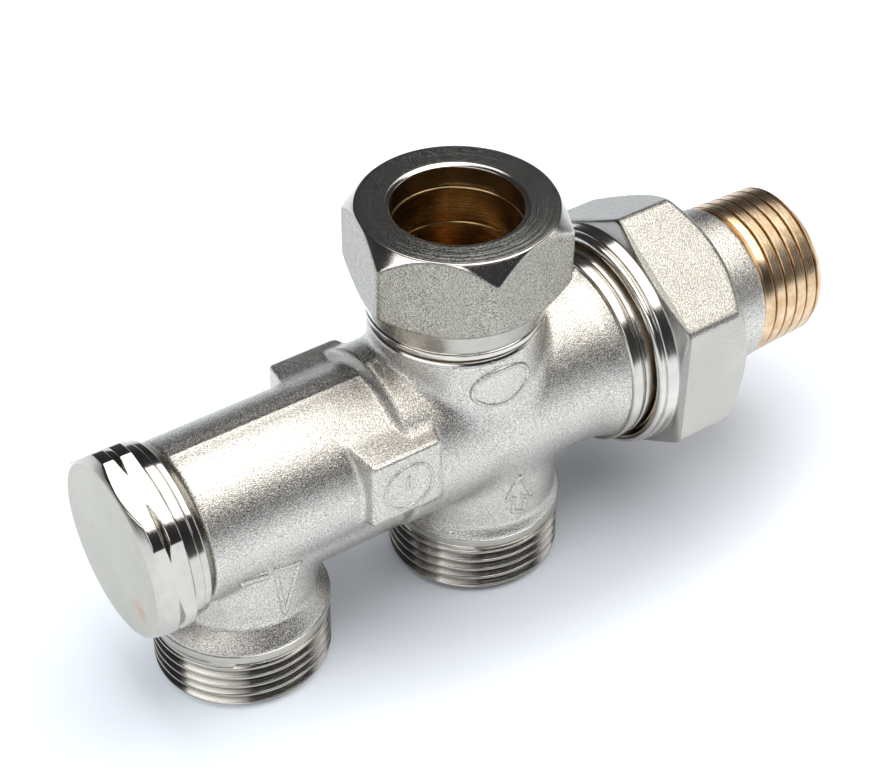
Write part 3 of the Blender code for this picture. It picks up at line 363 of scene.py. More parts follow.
def nickel_graph(name, blasted_tint, turned_tint, turned_roughness, ring_strength=0.45,
                 pit_tint=0.44):
    """Nickel plate, shot-blasted where finish is 0 and turned bright where it is 1."""
    g = Graph(name)
    finish = g.attribute("finish")
    grain = g.noise(5600.0, 2.0, 0.6)
    fine = g.noise(12000.0, 1.0, 0.5)
    rings = g.ring_noise(9.0)
    cloud = g.spread(g.noise(160.0, 3.0, 0.6))
    speck = g.range(g.noise(8000.0, 2.0, 0.6), 0.36, 0.58, pit_tint, 1.22)
    dull = g.mix(cloud, scaled(blasted_tint, 0.90), blasted_tint)
    dull = g.mix(1.0, dull, speck, blend_type="MULTIPLY")
    smudge = g.range(g.noise(260.0, 4.0, 0.65), 0.42, 0.66, 0.0, 1.0)
    bright = g.mix(smudge, turned_tint, scaled(turned_tint, 0.87))
    clean = g.mix(finish, dull, bright)
    # painted shade: the shade attribute darkens thread roots and the union nut's chamfer
    g.surface("Base Color", g.mix(g.attribute("shade"), clean, scaled(turned_tint, 0.30)))
    g.surface("Metallic", 1.0)
    rough_blasted = g.spread(fine, 0.18, 0.30)
    rough_turned = g.spread(rings, turned_roughness * 0.7, turned_roughness * 1.4)
    g.surface("Roughness", g.blend(finish, rough_blasted, rough_turned))
    blasted_bump = g.bump(grain, g.blend(finish, 0.8, 0.02), GRAIN_DEPTH)
    fine_bump = g.bump(fine, g.blend(finish, 0.7, 0.03), FINE_DEPTH, blasted_bump)
    g.surface("Normal", g.bump(rings, g.blend(finish, 0.0, ring_strength), RING_DEPTH, fine_bump))
    return g


def nickel_material(*recipe, **options):
    return nickel_graph(*recipe, **options).material


def faced_material(name, tint, roughness):
    """Nickel that a facing tool left full of fine rings, broken up here and there."""
    g = nickel_graph(name, tint, tint, roughness, 0.0)
    broken = g.range(g.noise(3500.0, 2.0, 0.6), 0.35, 0.65, 0.5, 1.0)
    g.surface("Normal", g.bump(g.ring_noise(5.5, 4.0), broken, RING_DEPTH))
    return g.material


def worn_material(name, tint, roughness, worn_at, worn_size, worn_tint):
    """Turned nickel that has worn through to the brass at one small place."""
    g = nickel_graph(name, tint, tint, roughness, 0.9)
    ragged = g.spread(g.noise(1500.0, 3.0, 0.6), -0.4 * worn_size, 0.4 * worn_size)
    gap = g.compute("ShaderNodeVectorMath", "DISTANCE", g.place(), worn_at)["Value"]
    gap = g.compute("ShaderNodeMath", "ADD", ragged, gap)["Value"]
    worn = g.range(gap, worn_size * 0.6, worn_size * 1.3, 1.0, 0.0)
    streaks = g.range(g.ring_noise(20.0, 4.0), 0.35, 0.65, 0.0, 1.0)
    patchy = g.range(g.noise(150.0, 3.0, 0.6), 0.35, 0.65, 0.0, 1.0)
    faded = g.mix(patchy, scaled(tint, 0.76), scaled(tint, 0.90))
    sound = g.mix(streaks, faded, scaled(tint, 1.03))
    g.surface("Base Color", g.mix(worn, sound, worn_tint))
    return g.material


def brass_material(name, tint, dark, roughness, ring_strength=0.35):
    """Raw turned brass with a darker tarnish in patches."""
    g = Graph(name)
    rings = g.ring_noise(11.0)
    clean = g.mix(g.range(g.noise(450.0, 4.0, 0.6), 0.38, 0.68, 0.0, 1.0), tint, dark)
    # painted shade: the shade attribute darkens the thread roots
    g.surface("Base Color", g.mix(g.attribute("shade"), clean, scaled(dark, 0.35)))
    g.surface("Metallic", 1.0)
    g.surface("Roughness", g.spread(rings, roughness * 0.7, roughness * 1.4))
    g.surface("Normal", g.bump(rings, ring_strength, RING_DEPTH))
    return g.material


def plain_material(name, tint, dark, roughness, metallic, scale, strength):
    """A finish with fine mottling, for seals, springs and inner pieces."""
    g = Graph(name)
    mottle = g.noise(scale, 4.0, 0.6)
    g.surface("Base Color", g.mix(g.spread(mottle), dark, tint))
    g.surface("Metallic", metallic)
    g.surface("Roughness", g.spread(mottle, roughness * 0.85, roughness * 1.15))
    g.surface("Normal", g.bump(mottle, strength, MOTTLE_DEPTH))
    return g.material


CAP_WORN = (-0.05025, -0.0062, 0.0202)      # a small rubbed place near the cap's rim
CAP_WORN_SIZE = 0.0012

nickel = nickel_material("nickel", (0.71, 0.68, 0.625), (0.64, 0.61, 0.565), 0.15)
nut_nickel = nickel_material("nut_nickel", (0.60, 0.575, 0.52), (0.70, 0.67, 0.62), 0.14)
# riser_nickel's darker blasted tint is painted shade on the riser nut's flats; its darker pits are
# grain
riser_nickel = nickel_material("riser_nickel", (0.49, 0.465, 0.40), (0.68, 0.65, 0.59), 0.14,
                               pit_tint=0.22)
# port_nickel's darker turned tint is painted shade on the port threads; it darkens their seat and
# rim too
port_nickel = nickel_material("port_nickel", (0.71, 0.68, 0.625), (0.52, 0.495, 0.445), 0.15)
nut_top = faced_material("nut_top", (0.54, 0.53, 0.49), 0.17)
brass_thread = brass_material("brass_thread", (0.83, 0.64, 0.43), (0.62, 0.41, 0.225), 0.22)
brass_bore = brass_material("brass_bore", (0.54, 0.38, 0.19), (0.38, 0.26, 0.125), 0.24, 0.12)
cap_nickel = nickel_material("cap_nickel", (0.53, 0.51, 0.475), (0.61, 0.58, 0.53), 0.10)
cap_face = worn_material("cap_face", (0.51, 0.49, 0.42), 0.26, CAP_WORN, CAP_WORN_SIZE,
                         (0.50, 0.33, 0.22))
inner_brass = plain_material("inner_brass", (0.80, 0.56, 0.28), (0.60, 0.38, 0.16), 0.26, 1.0,
                             900.0, 0.2)
spring_steel = plain_material("spring_steel", (0.55, 0.55, 0.56), (0.35, 0.35, 0.37), 0.30, 1.0,
                              1200.0, 0.2)
seal_rubber = plain_material("seal_rubber", (0.035, 0.035, 0.035), (0.015, 0.015, 0.015), 0.6,
                             0.0, 2500.0, 0.4)
seal_fibre = plain_material("seal_fibre", (0.50, 0.20, 0.12), (0.34, 0.12, 0.07), 0.8, 0.0,
                            1800.0, 0.6)

BODY_MATERIALS = (nickel, brass_thread, brass_bore)


# The forged body: a field of distances, which is turned into a mesh

CELL = 0.35                 # size of the mesh on the forging
FORGING_LOW, FORGING_HIGH = (-11.8, -13.3, 7.6), (51.6, 13.3, 40.0)

TUBE_LEFT, TUBE_RIGHT = -7.9, 50.6
TUBE_RADIUS, TUBE_END_ROUNDING = 10.0, 0.6
STEP_UP, STEP_FROM, STEP_TO = 1.5, 17.9, 18.9                  # the tube is wider past the pads
FLARE_UP, FLARE_FROM, FLARE_LENGTH = 0.9, 46.4, 3.8            # and flares towards the union
FLASH_UP, FLASH_HALF = 0.10, 0.35           # seam that the die left along the tube
FACING_RADIUS = 12.3        # spot facing behind the cap
NECK_CREASE = 0.25          # between a port's cone and its neck
RETURN_NECK = dict(lip=10.95, neck=9.2, low=9.35, high=11.7)
RETURN_LEAN = 0.6           # the return neck shifts by this as it rises
FLOW_NECK = dict(lip=11.0, neck=10.3, low=9.35, high=10.6)
RETURN_FOOT, FLOW_FOOT = 8.7, 8.5           # undersides of the necks
RISER_RADIUS, RISER_TOP = 10.7, 38.7
WEB_Z, WEB_RADIUS = 21.2, 8.8
DUCT_Z, DUCT_RADIUS = 17.0, 6.2
PAD_X, PAD_Z = 17.0, 26.8   # middle of the wrench pads
PAD_HALF_X, PAD_HALF_Z, PAD_Y = 4.75, 4.45, 11.6
PAD_DRAFT, PAD_ROUNDING = 0.20, 0.40
OVAL_X, OVAL_Z = 31.1, 34.6                 # plain raised oval on the riser neck
OVAL_HALF_X, OVAL_HALF_Z = 3.8, 2.6
OVAL_RISE = 0.18

MAIN_BORE = ((13.0, SPIGOT_BORE), (20.0, 6.7), (49.2, 9.2))    # radius up to each station
SOCKET_FLOOR = 38.5
BORE_MARGIN = 0.02          # a face this near to a bore takes the bore's material


def join(a, b, blend):
    """Union of two distance fields with a fillet."""
    h = np.clip(0.5 + 0.5 * (b - a) / blend, 0.0, 1.0)
    return b + (a - b) * h - blend * h * (1 - h)


def cut_round(a, b, blend):
    """The part two fields share, with its edge rounded over."""
    return -join(-a, -b, blend)


def neck_radius(z, lip, neck, low, high):
    """Outline of a port: a cone from the rim up to the neck, with a soft crease between."""
    cone = lip - (lip - neck) * (z - low) / (high - low)
    return np.minimum(-smooth_min(-cone, -neck, NECK_CREASE), lip)


def tube_field(x, y, from_bore):
    radius = TUBE_RADIUS + STEP_UP * smooth_step(STEP_FROM, STEP_TO, x)
    radius = radius + FLARE_UP * np.clip((x - FLARE_FROM) / FLARE_LENGTH, 0, 1.3) ** 2
    flash = FLASH_UP * np.exp(-(y / FLASH_HALF) ** 2)
    ends = np.maximum(TUBE_LEFT - x, x - TUBE_RIGHT)
    return cut_round(from_bore - radius - flash, ends, TUBE_END_ROUNDING)


def neck_field(x, y, z, shape, foot):
    radial = np.hypot(x, y) - neck_radius(z, **shape)
    return np.maximum(radial, np.maximum(foot - z, z - AXIS_Z))


def riser_field(x, y, z):
    across = ((x - OVAL_X) / OVAL_HALF_X) ** 2 + ((z - OVAL_Z) / OVAL_HALF_Z) ** 2
    plate = OVAL_RISE * smooth_step(1.10, 0.86, across) * (y < 0)
    radial = np.hypot(x - RISER_X, y) - RISER_RADIUS - plate
    return np.maximum(radial, np.maximum(AXIS_Z - z, z - RISER_TOP))


def pad_field(x, y, z):
    """Both wrench pads: one block through the body, with tapering sides and rounded edges."""
    draft = PAD_DRAFT * (np.abs(y) - PAD_Y)
    sides = (np.abs(x - PAD_X) - PAD_HALF_X + draft, np.abs(z - PAD_Z) - PAD_HALF_Z + draft,
             np.abs(y) - PAD_Y)
    inset = [side + PAD_ROUNDING for side in sides]
    outside = np.linalg.norm(np.stack([np.maximum(q, 0) for q in inset]), axis=0)
    return outside + np.minimum(np.maximum.reduce(inset), 0) - PAD_ROUNDING


def outer_field(x, y, z):
    from_bore = np.hypot(y, z - AXIS_Z)
    between = np.maximum(-x, x - FLOW_X)
    web = np.maximum(np.hypot(y, z - WEB_Z) - WEB_RADIUS, between)
    duct = np.maximum(np.hypot(y, z - DUCT_Z) - DUCT_RADIUS, between)
    lean = RETURN_LEAN * smooth_step(9.5, 13.0, z)
    return_neck = neck_field(x - lean, y, z, RETURN_NECK, RETURN_FOOT)
    flow_neck = neck_field(x - FLOW_X, y, z, FLOW_NECK, FLOW_FOOT)
    field = tube_field(x, y, from_bore)
    for form, fillet in ((web, 0.3), (duct, 0.4), (return_neck, 0.8), (flow_neck, 1.6),
                         (riser_field(x, y, z), 1.3), (pad_field(x, y, z), 0.7)):
        field = join(field, form, fillet)
    facing = np.maximum(from_bore - FACING_RADIUS, x - TUBE_LEFT)
    return np.maximum(field, -facing)


def bore_field(x, y, z):
    from_bore = np.hypot(y, z - AXIS_Z)
    main = np.select([x < end for end, _ in MAIN_BORE],
                     [from_bore - radius for _, radius in MAIN_BORE], from_bore - UNION_BORE)
    below = z - AXIS_Z
    return_bore = np.maximum(np.hypot(x, y) - PORT_BORE, below)
    flow_bore = np.maximum(np.hypot(x - FLOW_X, y) - PORT_BORE, below)
    riser_radius = np.where(z > SOCKET_FLOOR, SOCKET_BORE, RISER_BORE)
    riser_bore = np.maximum(np.hypot(x - RISER_X, y) - riser_radius, -below)
    return np.minimum(np.minimum(main, return_bore), np.minimum(flow_bore, riser_bore))


def body_field(x, y, z):
    return np.maximum(outer_field(x, y, z), -bore_field(x, y, z))


def surface_of(field, low, high, cell):
    """Surface nets: one point in each grid cell that the surface crosses, joined into quads."""
    axes = [np.arange(a, b + cell, cell) for a, b in zip(low, high)]
    grid = np.meshgrid(*axes, indexing="ij")
    values = field(*grid)
    corners = [(i, j, k) for i in (0, 1) for j in (0, 1) for k in (0, 1)]
    nx, ny, nz = (n - 1 for n in values.shape)
    cut = {c: values[c[0]:c[0] + nx, c[1]:c[1] + ny, c[2]:c[2] + nz] for c in corners}
    inside = sum((cut[c] < 0).astype(np.int8) for c in corners)
    active = np.nonzero((inside > 0) & (inside < 8))
    number = np.full((nx, ny, nz), -1, np.int64)
    number[active] = np.arange(len(active[0]))
    total = np.zeros((len(active[0]), 3))
    hits = np.zeros(len(active[0]))
    for a in corners:
        for axis in range(3):
            if a[axis]:
                continue
            b = tuple(1 if n == axis else a[n] for n in range(3))
            va, vb = cut[a][active], cut[b][active]
            crossed = (va < 0) != (vb < 0)
            t = np.where(crossed, va / np.where(crossed, va - vb, 1.0), 0.0)
            point = np.array(a, float) + t[:, None] * (np.array(b) - np.array(a))
            total += np.where(crossed[:, None], point, 0.0)
            hits += crossed
    base = np.stack([axes[n][active[n]] for n in range(3)], 1)
    points = base + total / hits[:, None] * cell
    quads = []
    for axis in range(3):
        u, v = (axis + 1) % 3, (axis + 2) % 3
        first = [slice(1, -1)] * 3
        first[axis] = slice(0, -1)
        second = list(first)
        second[axis] = slice(1, None)
        start, end = values[tuple(first)] < 0, values[tuple(second)] < 0
        at = np.nonzero(start != end)
        cell_index = [at[n] + (0 if n == axis else 1) for n in range(3)]
        ring = []
        for du, dv in ((0, 0), (1, 0), (1, 1), (0, 1)):
            where = list(cell_index)
            where[u] = where[u] - du
            where[v] = where[v] - dv
            ring.append(number[tuple(where)])
        ring = np.stack(ring, 1)
        flip = start[at]
        ring[flip] = ring[flip][:, ::-1]
        quads.append(ring)
    return points, np.concatenate(quads)


def settle(points, field, rounds=3, reach=0.25, probe=0.02):
    """Moves each point along the field's slope until it lies on the surface."""
    for _ in range(rounds):
        x, y, z = points.T
        here = field(x, y, z)
        slope = np.stack([field(x + probe, y, z) - field(x - probe, y, z),
                          field(x, y + probe, z) - field(x, y - probe, z),
                          field(x, y, z + probe) - field(x, y, z - probe)], 1) / (2 * probe)
        size = np.maximum((slope ** 2).sum(1), 0.25)
        move = -here[:, None] * slope / size[:, None]
        length = np.maximum(np.linalg.norm(move, axis=1), 1e-9)
        points = points + move * np.minimum(1.0, reach / length)[:, None]
    return points


def build_forging():
    points, quads = surface_of(body_field, FORGING_LOW, FORGING_HIGH, CELL)
    points = settle(points, body_field)
    middle = points[quads].mean(1)
    bored = -bore_field(*middle.T) > outer_field(*middle.T) - BORE_MARGIN
    obj = mesh_object("forged_body", points, quads.tolist(), bored)
    dress(obj, "valve", "nickel_blasted", (nickel, brass_bore), "valve_body")


# Cast marks on the front of the body

FRONT_NEAR, FRONT_FAR = -13.0, -7.0         # the front of the body lies between these
LINE_SPACING = 0.25
LINE_SIDES = 8
LINE_SINK = 0.3             # depth of a line's middle in the body, as a part of its radius
HALVINGS = 30


def surface_y(x, z):
    """Where the front of the forging lies at each (x, z), found by halving."""
    near, far = np.full(len(x), FRONT_NEAR), np.full(len(x), FRONT_FAR)
    for _ in range(HALVINGS):
        middle = (near + far) / 2
        outside = outer_field(x, middle, z) > 0
        near, far = np.where(outside, middle, near), np.where(outside, far, middle)
    return near


def relief_line(name, outline, radius, closed=True):
    """A raised cast line that follows an outline of (x, z) points over the front of the body."""
    ends = outline[1:] + outline[:1] if closed else outline[1:]
    path = []
    for start, end in zip(outline, ends):
        count = max(2, math.ceil(math.dist(start, end) / LINE_SPACING))
        path += [(start[0] + (end[0] - start[0]) * k / count,
                  start[1] + (end[1] - start[1]) * k / count) for k in range(count)]
    if not closed:
        path.append(outline[-1])
    x, z = np.array(path, float).T
    line = np.stack([x, surface_y(x, z) + LINE_SINK * radius, z], 1)
    ahead = np.roll(line, -1, 0) - np.roll(line, 1, 0)
    if not closed:
        ahead[0], ahead[-1] = line[1] - line[0], line[-1] - line[-2]
    ahead /= np.linalg.norm(ahead, axis=1)[:, None]
    side = np.cross(ahead, (0.0, -1.0, 0.0))
    side /= np.linalg.norm(side, axis=1)[:, None]
    out = np.cross(side, ahead)
    turn = np.linspace(0, 2 * math.pi, LINE_SIDES, endpoint=False)
    rings = (line[:, None] + radius * (np.cos(turn)[None, :, None] * side[:, None]
                                       + np.sin(turn)[None, :, None] * out[:, None]))
    index = np.arange(len(line) * LINE_SIDES).reshape(len(line), LINE_SIDES)
    upper = np.roll(index, -1, 0) if closed else index[1:]
    lower = index if closed else index[:-1]
    faces = np.stack([lower, np.roll(lower, -1, 1), np.roll(upper, -1, 1), upper], -1)
    faces = faces.reshape(-1, 4).tolist()
    if not closed:
        faces += [index[0].tolist()[::-1], index[-1].tolist()]
    dress(mesh_object(name, rings, faces), "valve", "nickel_blasted", (nickel,))


def oval(at, half_width, half_height, count=28):
    turns = [2 * math.pi * k / count for k in range(count)]
    return [(at[0] + half_width * math.cos(a), at[1] + half_height * math.sin(a)) for a in turns]


def build_relief():
    """Plain flow arrows, an oval rim and the ring on the front pad."""
    relief_line("arrow_return", [(0.1, 20.6), (3.6, 19.4), (1.0, 12.6)], 0.38)
    relief_line("arrow_return_tail", [(-4.4, 20.6), (-2.6, 20.4), (-0.9, 20.2)], 0.75,
                closed=False)
    relief_line("arrow_flow", [(34.5, 18.4), (36.5, 13.9), (35.6, 14.0), (35.3, 11.9),
                               (33.7, 12.6), (33.9, 14.7), (32.9, 15.0)], 0.36)
    relief_line("neck_oval", oval((OVAL_X, OVAL_Z), OVAL_HALF_X, OVAL_HALF_Z), 0.36)
    relief_line("pad_ring", oval((PAD_X + 0.2, PAD_Z - 0.4), 3.3, 3.2), 0.28)
    relief_line("pad_mark", oval((PAD_X + 0.2, PAD_Z + 0.2), 0.25, 0.9, 12), 0.22)


# Turned ends of the body; an outline's points are (station or height, radius)

def build_port(name, at_x):
    """The turned end of a bottom port: conical seat, thread, run-out groove and bright rim."""
    angles = turn_angles(ROUND_STEPS)
    rows = softened(run((9.3, 7.0), (4.0, PORT_BORE), (0.0, 8.8), (0.0, 9.9)), 0.1)
    rows += thread_rows(0.0, 7.6, angles, NICKEL, major=11.0, depth=0.66, pitch=1.5, fade=0.3,
                        crest_half=0.08, root_half=0.03)
    rows += softened(run((7.65, 10.3), (8.1, 10.3), (8.15, 11.1), (9.2, 11.1), (9.3, 10.6)), 0.12)
    obj = skin(name, rows, angles, "Z", (at_x, 0.0, 0.0))
    dress(obj, "valve", "nickel_blasted", (port_nickel,))


def build_spigot():
    """The turned end behind the cap: shoulder, relief and cap thread."""
    angles = turn_angles(ROUND_STEPS)
    rows = softened(run((-4.0, SPIGOT_BORE), material=BORE)
                    + run((-12.4, SPIGOT_BORE), (-12.4, 8.2)), 0.1)
    rows += thread_rows(-12.4, 3.6, angles, NICKEL, major=9.0, depth=0.65, pitch=1.0, fade=0.2)
    rows += softened(run((-8.8, 8.4), (-7.4, 8.4), (-7.4, 7.6)), 0.1)
    obj = skin("cap_spigot", rows, angles, "X", (0.0, 0.0, AXIS_Z))
    dress(obj, "valve", "nickel_blasted", BODY_MATERIALS)


def build_union_end():
    """The turned end towards the radiator: bright land and union thread."""
    angles = turn_angles(UNION_STEPS)
    rows = softened(run((49.5, UNION_BORE), material=BORE)
                    + run((60.4, UNION_BORE), (60.4, 12.0)), 0.15)
    rows += thread_rows(60.4, -6.6, angles, BRASS, major=13.2, depth=0.9, pitch=PIPE_PITCH,
                        fade=0.3)
    rows += softened(run((53.75, 12.1), (53.6, 12.85), (51.95, 12.85), (51.85, 12.3),
                         (51.55, 12.3), (51.45, 12.9), (50.2, 12.9), (50.0, 12.6),
                         (50.0, 11.5)), 0.10)
    obj = skin("union_end", rows, angles, "X", (0.0, 0.0, AXIS_Z))
    dress(obj, "valve", "nickel_blasted", BODY_MATERIALS)


def build_riser_end():
    """The turned end of the riser neck: shoulder, thread, conical mouth and socket."""
    angles = turn_angles(ROUND_STEPS)
    rows = softened(run((38.0, SOCKET_BORE), (45.9, SOCKET_BORE), material=BORE)
                    + run((47.8, 9.1), (47.8, 9.2), material=BRASS), 0.1)
    rows += thread_rows(47.8, -8.2, angles, BRASS, major=9.7, depth=0.8, pitch=1.5, fade=0.3)
    rows += softened(run((39.5, 9.2), (39.0, 9.2), (39.0, 10.4), (38.6, 10.7), (38.3, 10.7),
                         (38.3, 9.0)), 0.12)
    obj = skin("riser_end", rows, angles, "Z", (RISER_X, 0.0, 0.0))
    dress(obj, "valve", "nickel_blasted", BODY_MATERIALS)


# Cap, nuts, cone ring and tailpiece

def build_cap():
    angles = turn_angles(HEX_STEPS, CAP_HEXAGON)
    rows = softened(run((0.0, 0.0), (0.0, 4.0), material=FACED)
                    + run((0.0, 10.6), (0.25, 11.0), (0.9, 11.95), (2.2, 11.95), (2.6, 11.15),
                          (3.0, 11.95), (4.4, 11.95), (4.6, 10.75), (4.75, 10.98),
                          (5.95, 10.98), (6.05, 10.7), (6.15, 10.78), (6.85, 10.78),
                          (7.0, 10.6), (7.0, 9.35), (6.6, 9.1), (1.8, 9.1), (1.8, 0.0)),
                    0.10, 0.25)
    obj = skin("cap", rows, angles, "X", (-15.8, 0.0, AXIS_Z), CAP_HEXAGON, TURNED, 0.12,
               closed=False)
    dress(obj, "cap", "nickel_bright", (cap_nickel, cap_face), "blanking_cap")


def build_riser_nut():
    angles = turn_angles(HEX_STEPS, RISER_HEXAGON)
    rows = softened(run((39.5, 10.0), (39.5, 10.7), (39.7, 10.9), (40.3, 10.9), (40.5, 10.6),
                        (40.7, 10.9), (43.7, 11.95))
                    + run((43.85, 12.05), (45.8, 14.4), finish=BLASTED)
                    + run((50.93, 14.4))
                    + run((54.2, 11.9), material=FACED)
                    + run((54.2, 8.3), (53.9, 7.85), (51.4, 7.75), (51.4, 8.1), (49.4, 10.0),
                          (39.5, 10.0)), 0.12, 0.3)
    obj = skin("riser_nut", rows[:-1], angles, "Z", (RISER_X, 0.0, 0.0), RISER_HEXAGON, BLASTED,
               0.2)
    dress(obj, "riser_nut", "nickel_blasted", (riser_nickel, nut_top), "compression_nut")


def build_cone_ring():
    angles = turn_angles(ROUND_STEPS)
    rows = softened(run((51.1, 7.80), (51.1, 8.1), (49.9, 9.15), (48.2, 9.2), (46.1, 7.95),
                        (46.1, 7.80), (51.1, 7.80)), 0.03, 0.4)
    obj = skin("cone_ring", rows[:-1], angles, "Z", (RISER_X, 0.0, 0.0))
    dress(obj, "cone_ring", "brass_inner", (brass_bore,), "compression_ring")


def build_union_nut():
    angles = turn_angles(UNION_HEX_STEPS, UNION_HEXAGON)
    rows = softened(run((53.0, 13.5), (53.0, 14.05), (53.3, 14.4), (53.8, 14.4), (53.95, 14.1),
                        (54.1, 14.6))
                    # painted shade on the collar's chamfer
                    + run((55.5, 14.75), (55.6, 14.95), shade=0.6)
                    + run((56.55, 17.9), (63.75, 17.9), (66.6, 14.8), (66.9, 14.3),
                          finish=BLASTED)
                    + run((66.9, 11.2), (66.6, 10.85), (64.9, 10.85), (64.9, 13.5),
                          (53.0, 13.5)), 0.2, 0.35)
    obj = skin("union_ring_nut", rows[:-1], angles, "X", (0.0, 0.0, AXIS_Z), UNION_HEXAGON,
               BLASTED, 0.45)
    dress(obj, "union_nut", "nickel_blasted", (nut_nickel,), "union_nut")


def build_tailpiece():
    angles = turn_angles(ROUND_STEPS)
    rows = softened(run((62.5, TAIL_BORE), material=BORE)
                    + run((62.5, 12.0), (62.9, 12.4), (64.6, 12.4))
                    + run((64.6, 10.6), (73.5, 10.6), finish=BLASTED)
                    + run((73.8, 10.3), material=BRASS), 0.15)
    thread = thread_rows(84.7, -10.9, angles, BRASS, major=10.45, depth=0.95, pitch=PIPE_PITCH,
                         taper=1 / 32, lead_in=0.7, fade=0.8, crest_half=0.37, root_half=0.02)
    rows += thread[::-1]
    rows += softened(run((84.7, 8.9), (84.7, 7.8), material=BRASS)
                     + run((84.3, TAIL_BORE), (62.5, TAIL_BORE), material=BORE), 0.1)[:-1]
    obj = skin("tail", rows, angles, "X", (0.0, 0.0, AXIS_Z))
    dress(obj, "tailpiece", "brass_threads", BODY_MATERIALS, "tailpiece")


def build_tail_key():
    """The narrow hexagon inside the tailpiece, which the fitting key turns."""
    angles = turn_angles(KEY_STEPS, KEY_HEXAGON)
    flats = hexagon_radius(angles, *KEY_HEXAGON)
    outside, edge = 7.6, flats + 0.12
    rows = run((66.0, outside), (66.0, edge), (66.12, flats), (66.4, flats), (75.6, flats),
               (75.88, flats), (76.0, edge), (76.0, outside))
    obj = skin("tail_key", rows, angles, "X", (0.0, 0.0, AXIS_Z))
    dress(obj, "tailpiece", "brass_threads", (brass_bore,))


def dress_nodes():
    """Better materials for the inner pieces that keep their CAD shape."""
    looks = ((seal_fibre, ("cap_seal", "tail_seal")),
             (inner_brass, ("bonnet", "spindle", "shut_off_disc", "disc_nut", "flow_sleeve")),
             (spring_steel, ("spindle_clip", "sleeve_ring")),
             (seal_rubber, ("bonnet_seal", "spindle_seal_outer", "spindle_seal_inner",
                            "disc_seal", "sleeve_seal_left", "sleeve_seal_right")))
    for material, nodes in looks:
        for node in nodes:
            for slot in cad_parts[node].material_slots:
                slot.material = material


# Floor, light and camera

FLOOR_HALF = 1.5
GLOW_NEAR, GLOW_FAR = 0.03, 0.42            # lifts the paper to white where it is looked at
GLOW_COLOUR = (0.85, 0.93, 1.0)
GLOW_MIDDLE = 0.012         # the glow grows outside an oval on the floor round this x
GLOW_REACH = (0.055, 0.026)
GLOW_FROM, GLOW_TO = 0.55, 1.3              # in oval radii

# The camera that was solved from the photo
FRAME_WIDTH = 881
FOCAL_PIXELS = 2028.49
SHIFT_PIXELS = (-6.03, 1.65)
SENSOR_WIDTH = 36.0
CAMERA_AT = (-80.126, -155.617, 187.149)
CAMERA_RIGHT = (0.82022, -0.57194, 0.01107)
CAMERA_UP = (0.36122, 0.53284, 0.76525)


def build_floor():
    mesh = bpy.data.meshes.new("floor")
    half = FLOOR_HALF
    mesh.from_pydata([(-half, -half, 0), (half, -half, 0), (half, half, 0), (-half, half, 0)], [],
                     [(0, 1, 2, 3)])
    g = Graph("paper")
    g.surface("Base Color", g.mix(g.noise(30.0, 3.0, 0.5), (0.79, 0.825, 0.885),
                                  (0.81, 0.845, 0.905)))
    g.surface("Roughness", 0.8)
    g.surface("Specular IOR Level", 0.1)
    path = g.node("ShaderNodeLightPath").outputs
    seen = g.compute("ShaderNodeMath", "MAXIMUM", path["Is Camera Ray"],
                     path["Is Glossy Ray"])["Value"]
    from_oval = g.compute("ShaderNodeVectorMath", "MULTIPLY_ADD", g.place(),
                          (1 / GLOW_REACH[0], 1 / GLOW_REACH[1], 0.0),
                          (-GLOW_MIDDLE / GLOW_REACH[0], 0.0, 0.0))["Vector"]
    away = g.compute("ShaderNodeVectorMath", "LENGTH", from_oval)["Value"]
    glow = g.range(away, GLOW_FROM, GLOW_TO, GLOW_NEAR, GLOW_FAR,
                   interpolation_type="SMOOTHSTEP")
    g.surface("Emission Strength", g.blend(seen, 0.0, glow))
    g.surface("Emission Color", GLOW_COLOUR)
    mesh.materials.append(g.material)
    floor = add_object("floor", mesh)


def softbox(name, place, size, radiance, colour=(1.0, 1.0, 1.0), target=(0.0, 0.0, 0.02)):
    """A soft lamp turned to the valve; radiance is how bright its face looks."""
    data = bpy.data.lights.new(name, "AREA")
    data.shape = "RECTANGLE"
    data.size, data.size_y = size
    data.energy = radiance * math.pi * size[0] * size[1]
    data.color = colour
    lamp = add_object(name, data)
    lamp.location = place
    lamp.rotation_euler = (Vector(target) - Vector(place)).to_track_quat("-Z", "Y").to_euler()


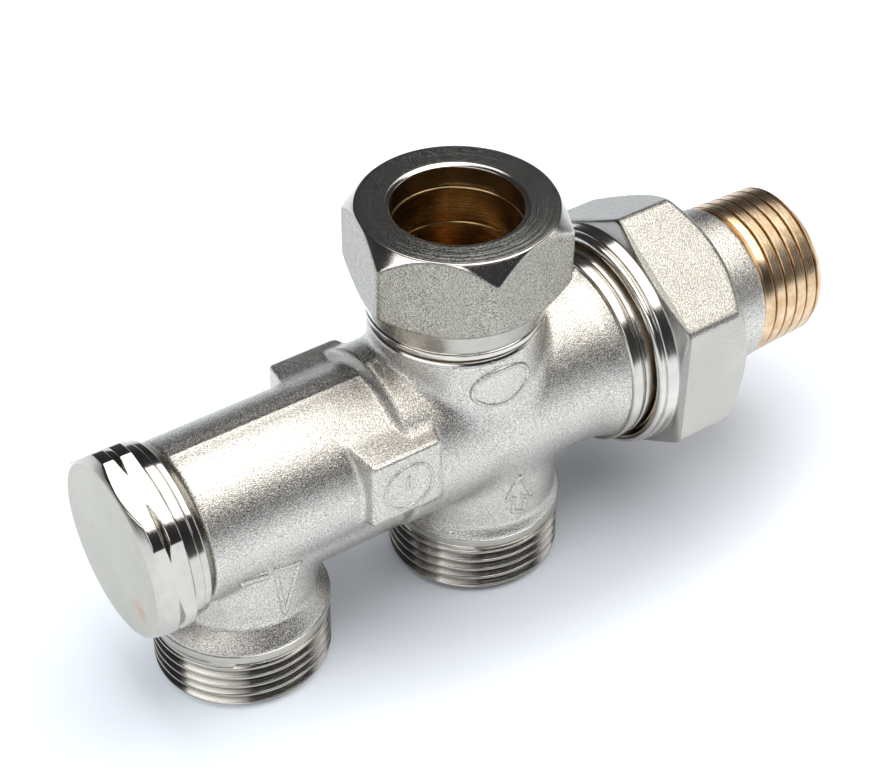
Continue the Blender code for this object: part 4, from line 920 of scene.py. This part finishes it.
def build_light():
    softbox("overhead", (0.17, -0.07, 0.72), (1.04, 0.72), 3.0, (1.0, 0.99, 0.97),
            (0.0, -0.07, 0.02))
    softbox("left_window", (-0.72, -0.31, 0.50), (1.10, 0.32), 2.4, (0.97, 0.98, 1.0))
    softbox("right_low", (0.70, -0.30, 0.22), (0.36, 0.26), 1.2)
    world = bpy.data.worlds.new("studio")
    bpy.context.scene.world = world
    world.use_nodes = True
    tree = world.node_tree
    background = tree.nodes["Background"]
    place = tree.nodes.new("ShaderNodeTexCoord")
    split = tree.nodes.new("ShaderNodeSeparateXYZ")
    ramp = tree.nodes.new("ShaderNodeValToRGB")
    tree.links.new(place.outputs["Generated"], split.inputs[0])
    tree.links.new(split.outputs["Z"], ramp.inputs["Fac"])
    tree.links.new(ramp.outputs["Color"], background.inputs["Color"])
    low, high = ramp.color_ramp.elements
    low.position, low.color = 0.02, (0.10, 0.10, 0.105, 1.0)
    high.position, high.color = 0.35, (0.035, 0.035, 0.04, 1.0)
    background.inputs["Strength"].default_value = 1.0


def build_camera():
    data = bpy.data.cameras.new("camera")
    data.sensor_width = SENSOR_WIDTH
    data.lens = FOCAL_PIXELS / FRAME_WIDTH * SENSOR_WIDTH
    data.shift_x = SHIFT_PIXELS[0] / FRAME_WIDTH
    data.shift_y = SHIFT_PIXELS[1] / FRAME_WIDTH
    data.clip_start = 0.01
    camera = add_object("camera", data)
    right, up = Vector(CAMERA_RIGHT), Vector(CAMERA_UP)
    turn = Matrix((right, up, right.cross(up))).transposed()
    place = Vector((CAMERA_AT[0] + RETURN_X, *CAMERA_AT[1:])) * MM
    camera.matrix_world = Matrix.Translation(place) @ turn.to_4x4()
    bpy.context.scene.camera = camera


build_forging()
build_relief()
build_port("return_port_end", 0.0)
build_port("flow_port_end", FLOW_X)
build_spigot()
build_union_end()
build_riser_end()
build_cap()
build_riser_nut()
build_cone_ring()
build_union_nut()
build_tailpiece()
build_tail_key()
dress_nodes()
build_floor()
build_light()
build_camera()
bpy.context.scene.view_settings.view_transform = "Standard"
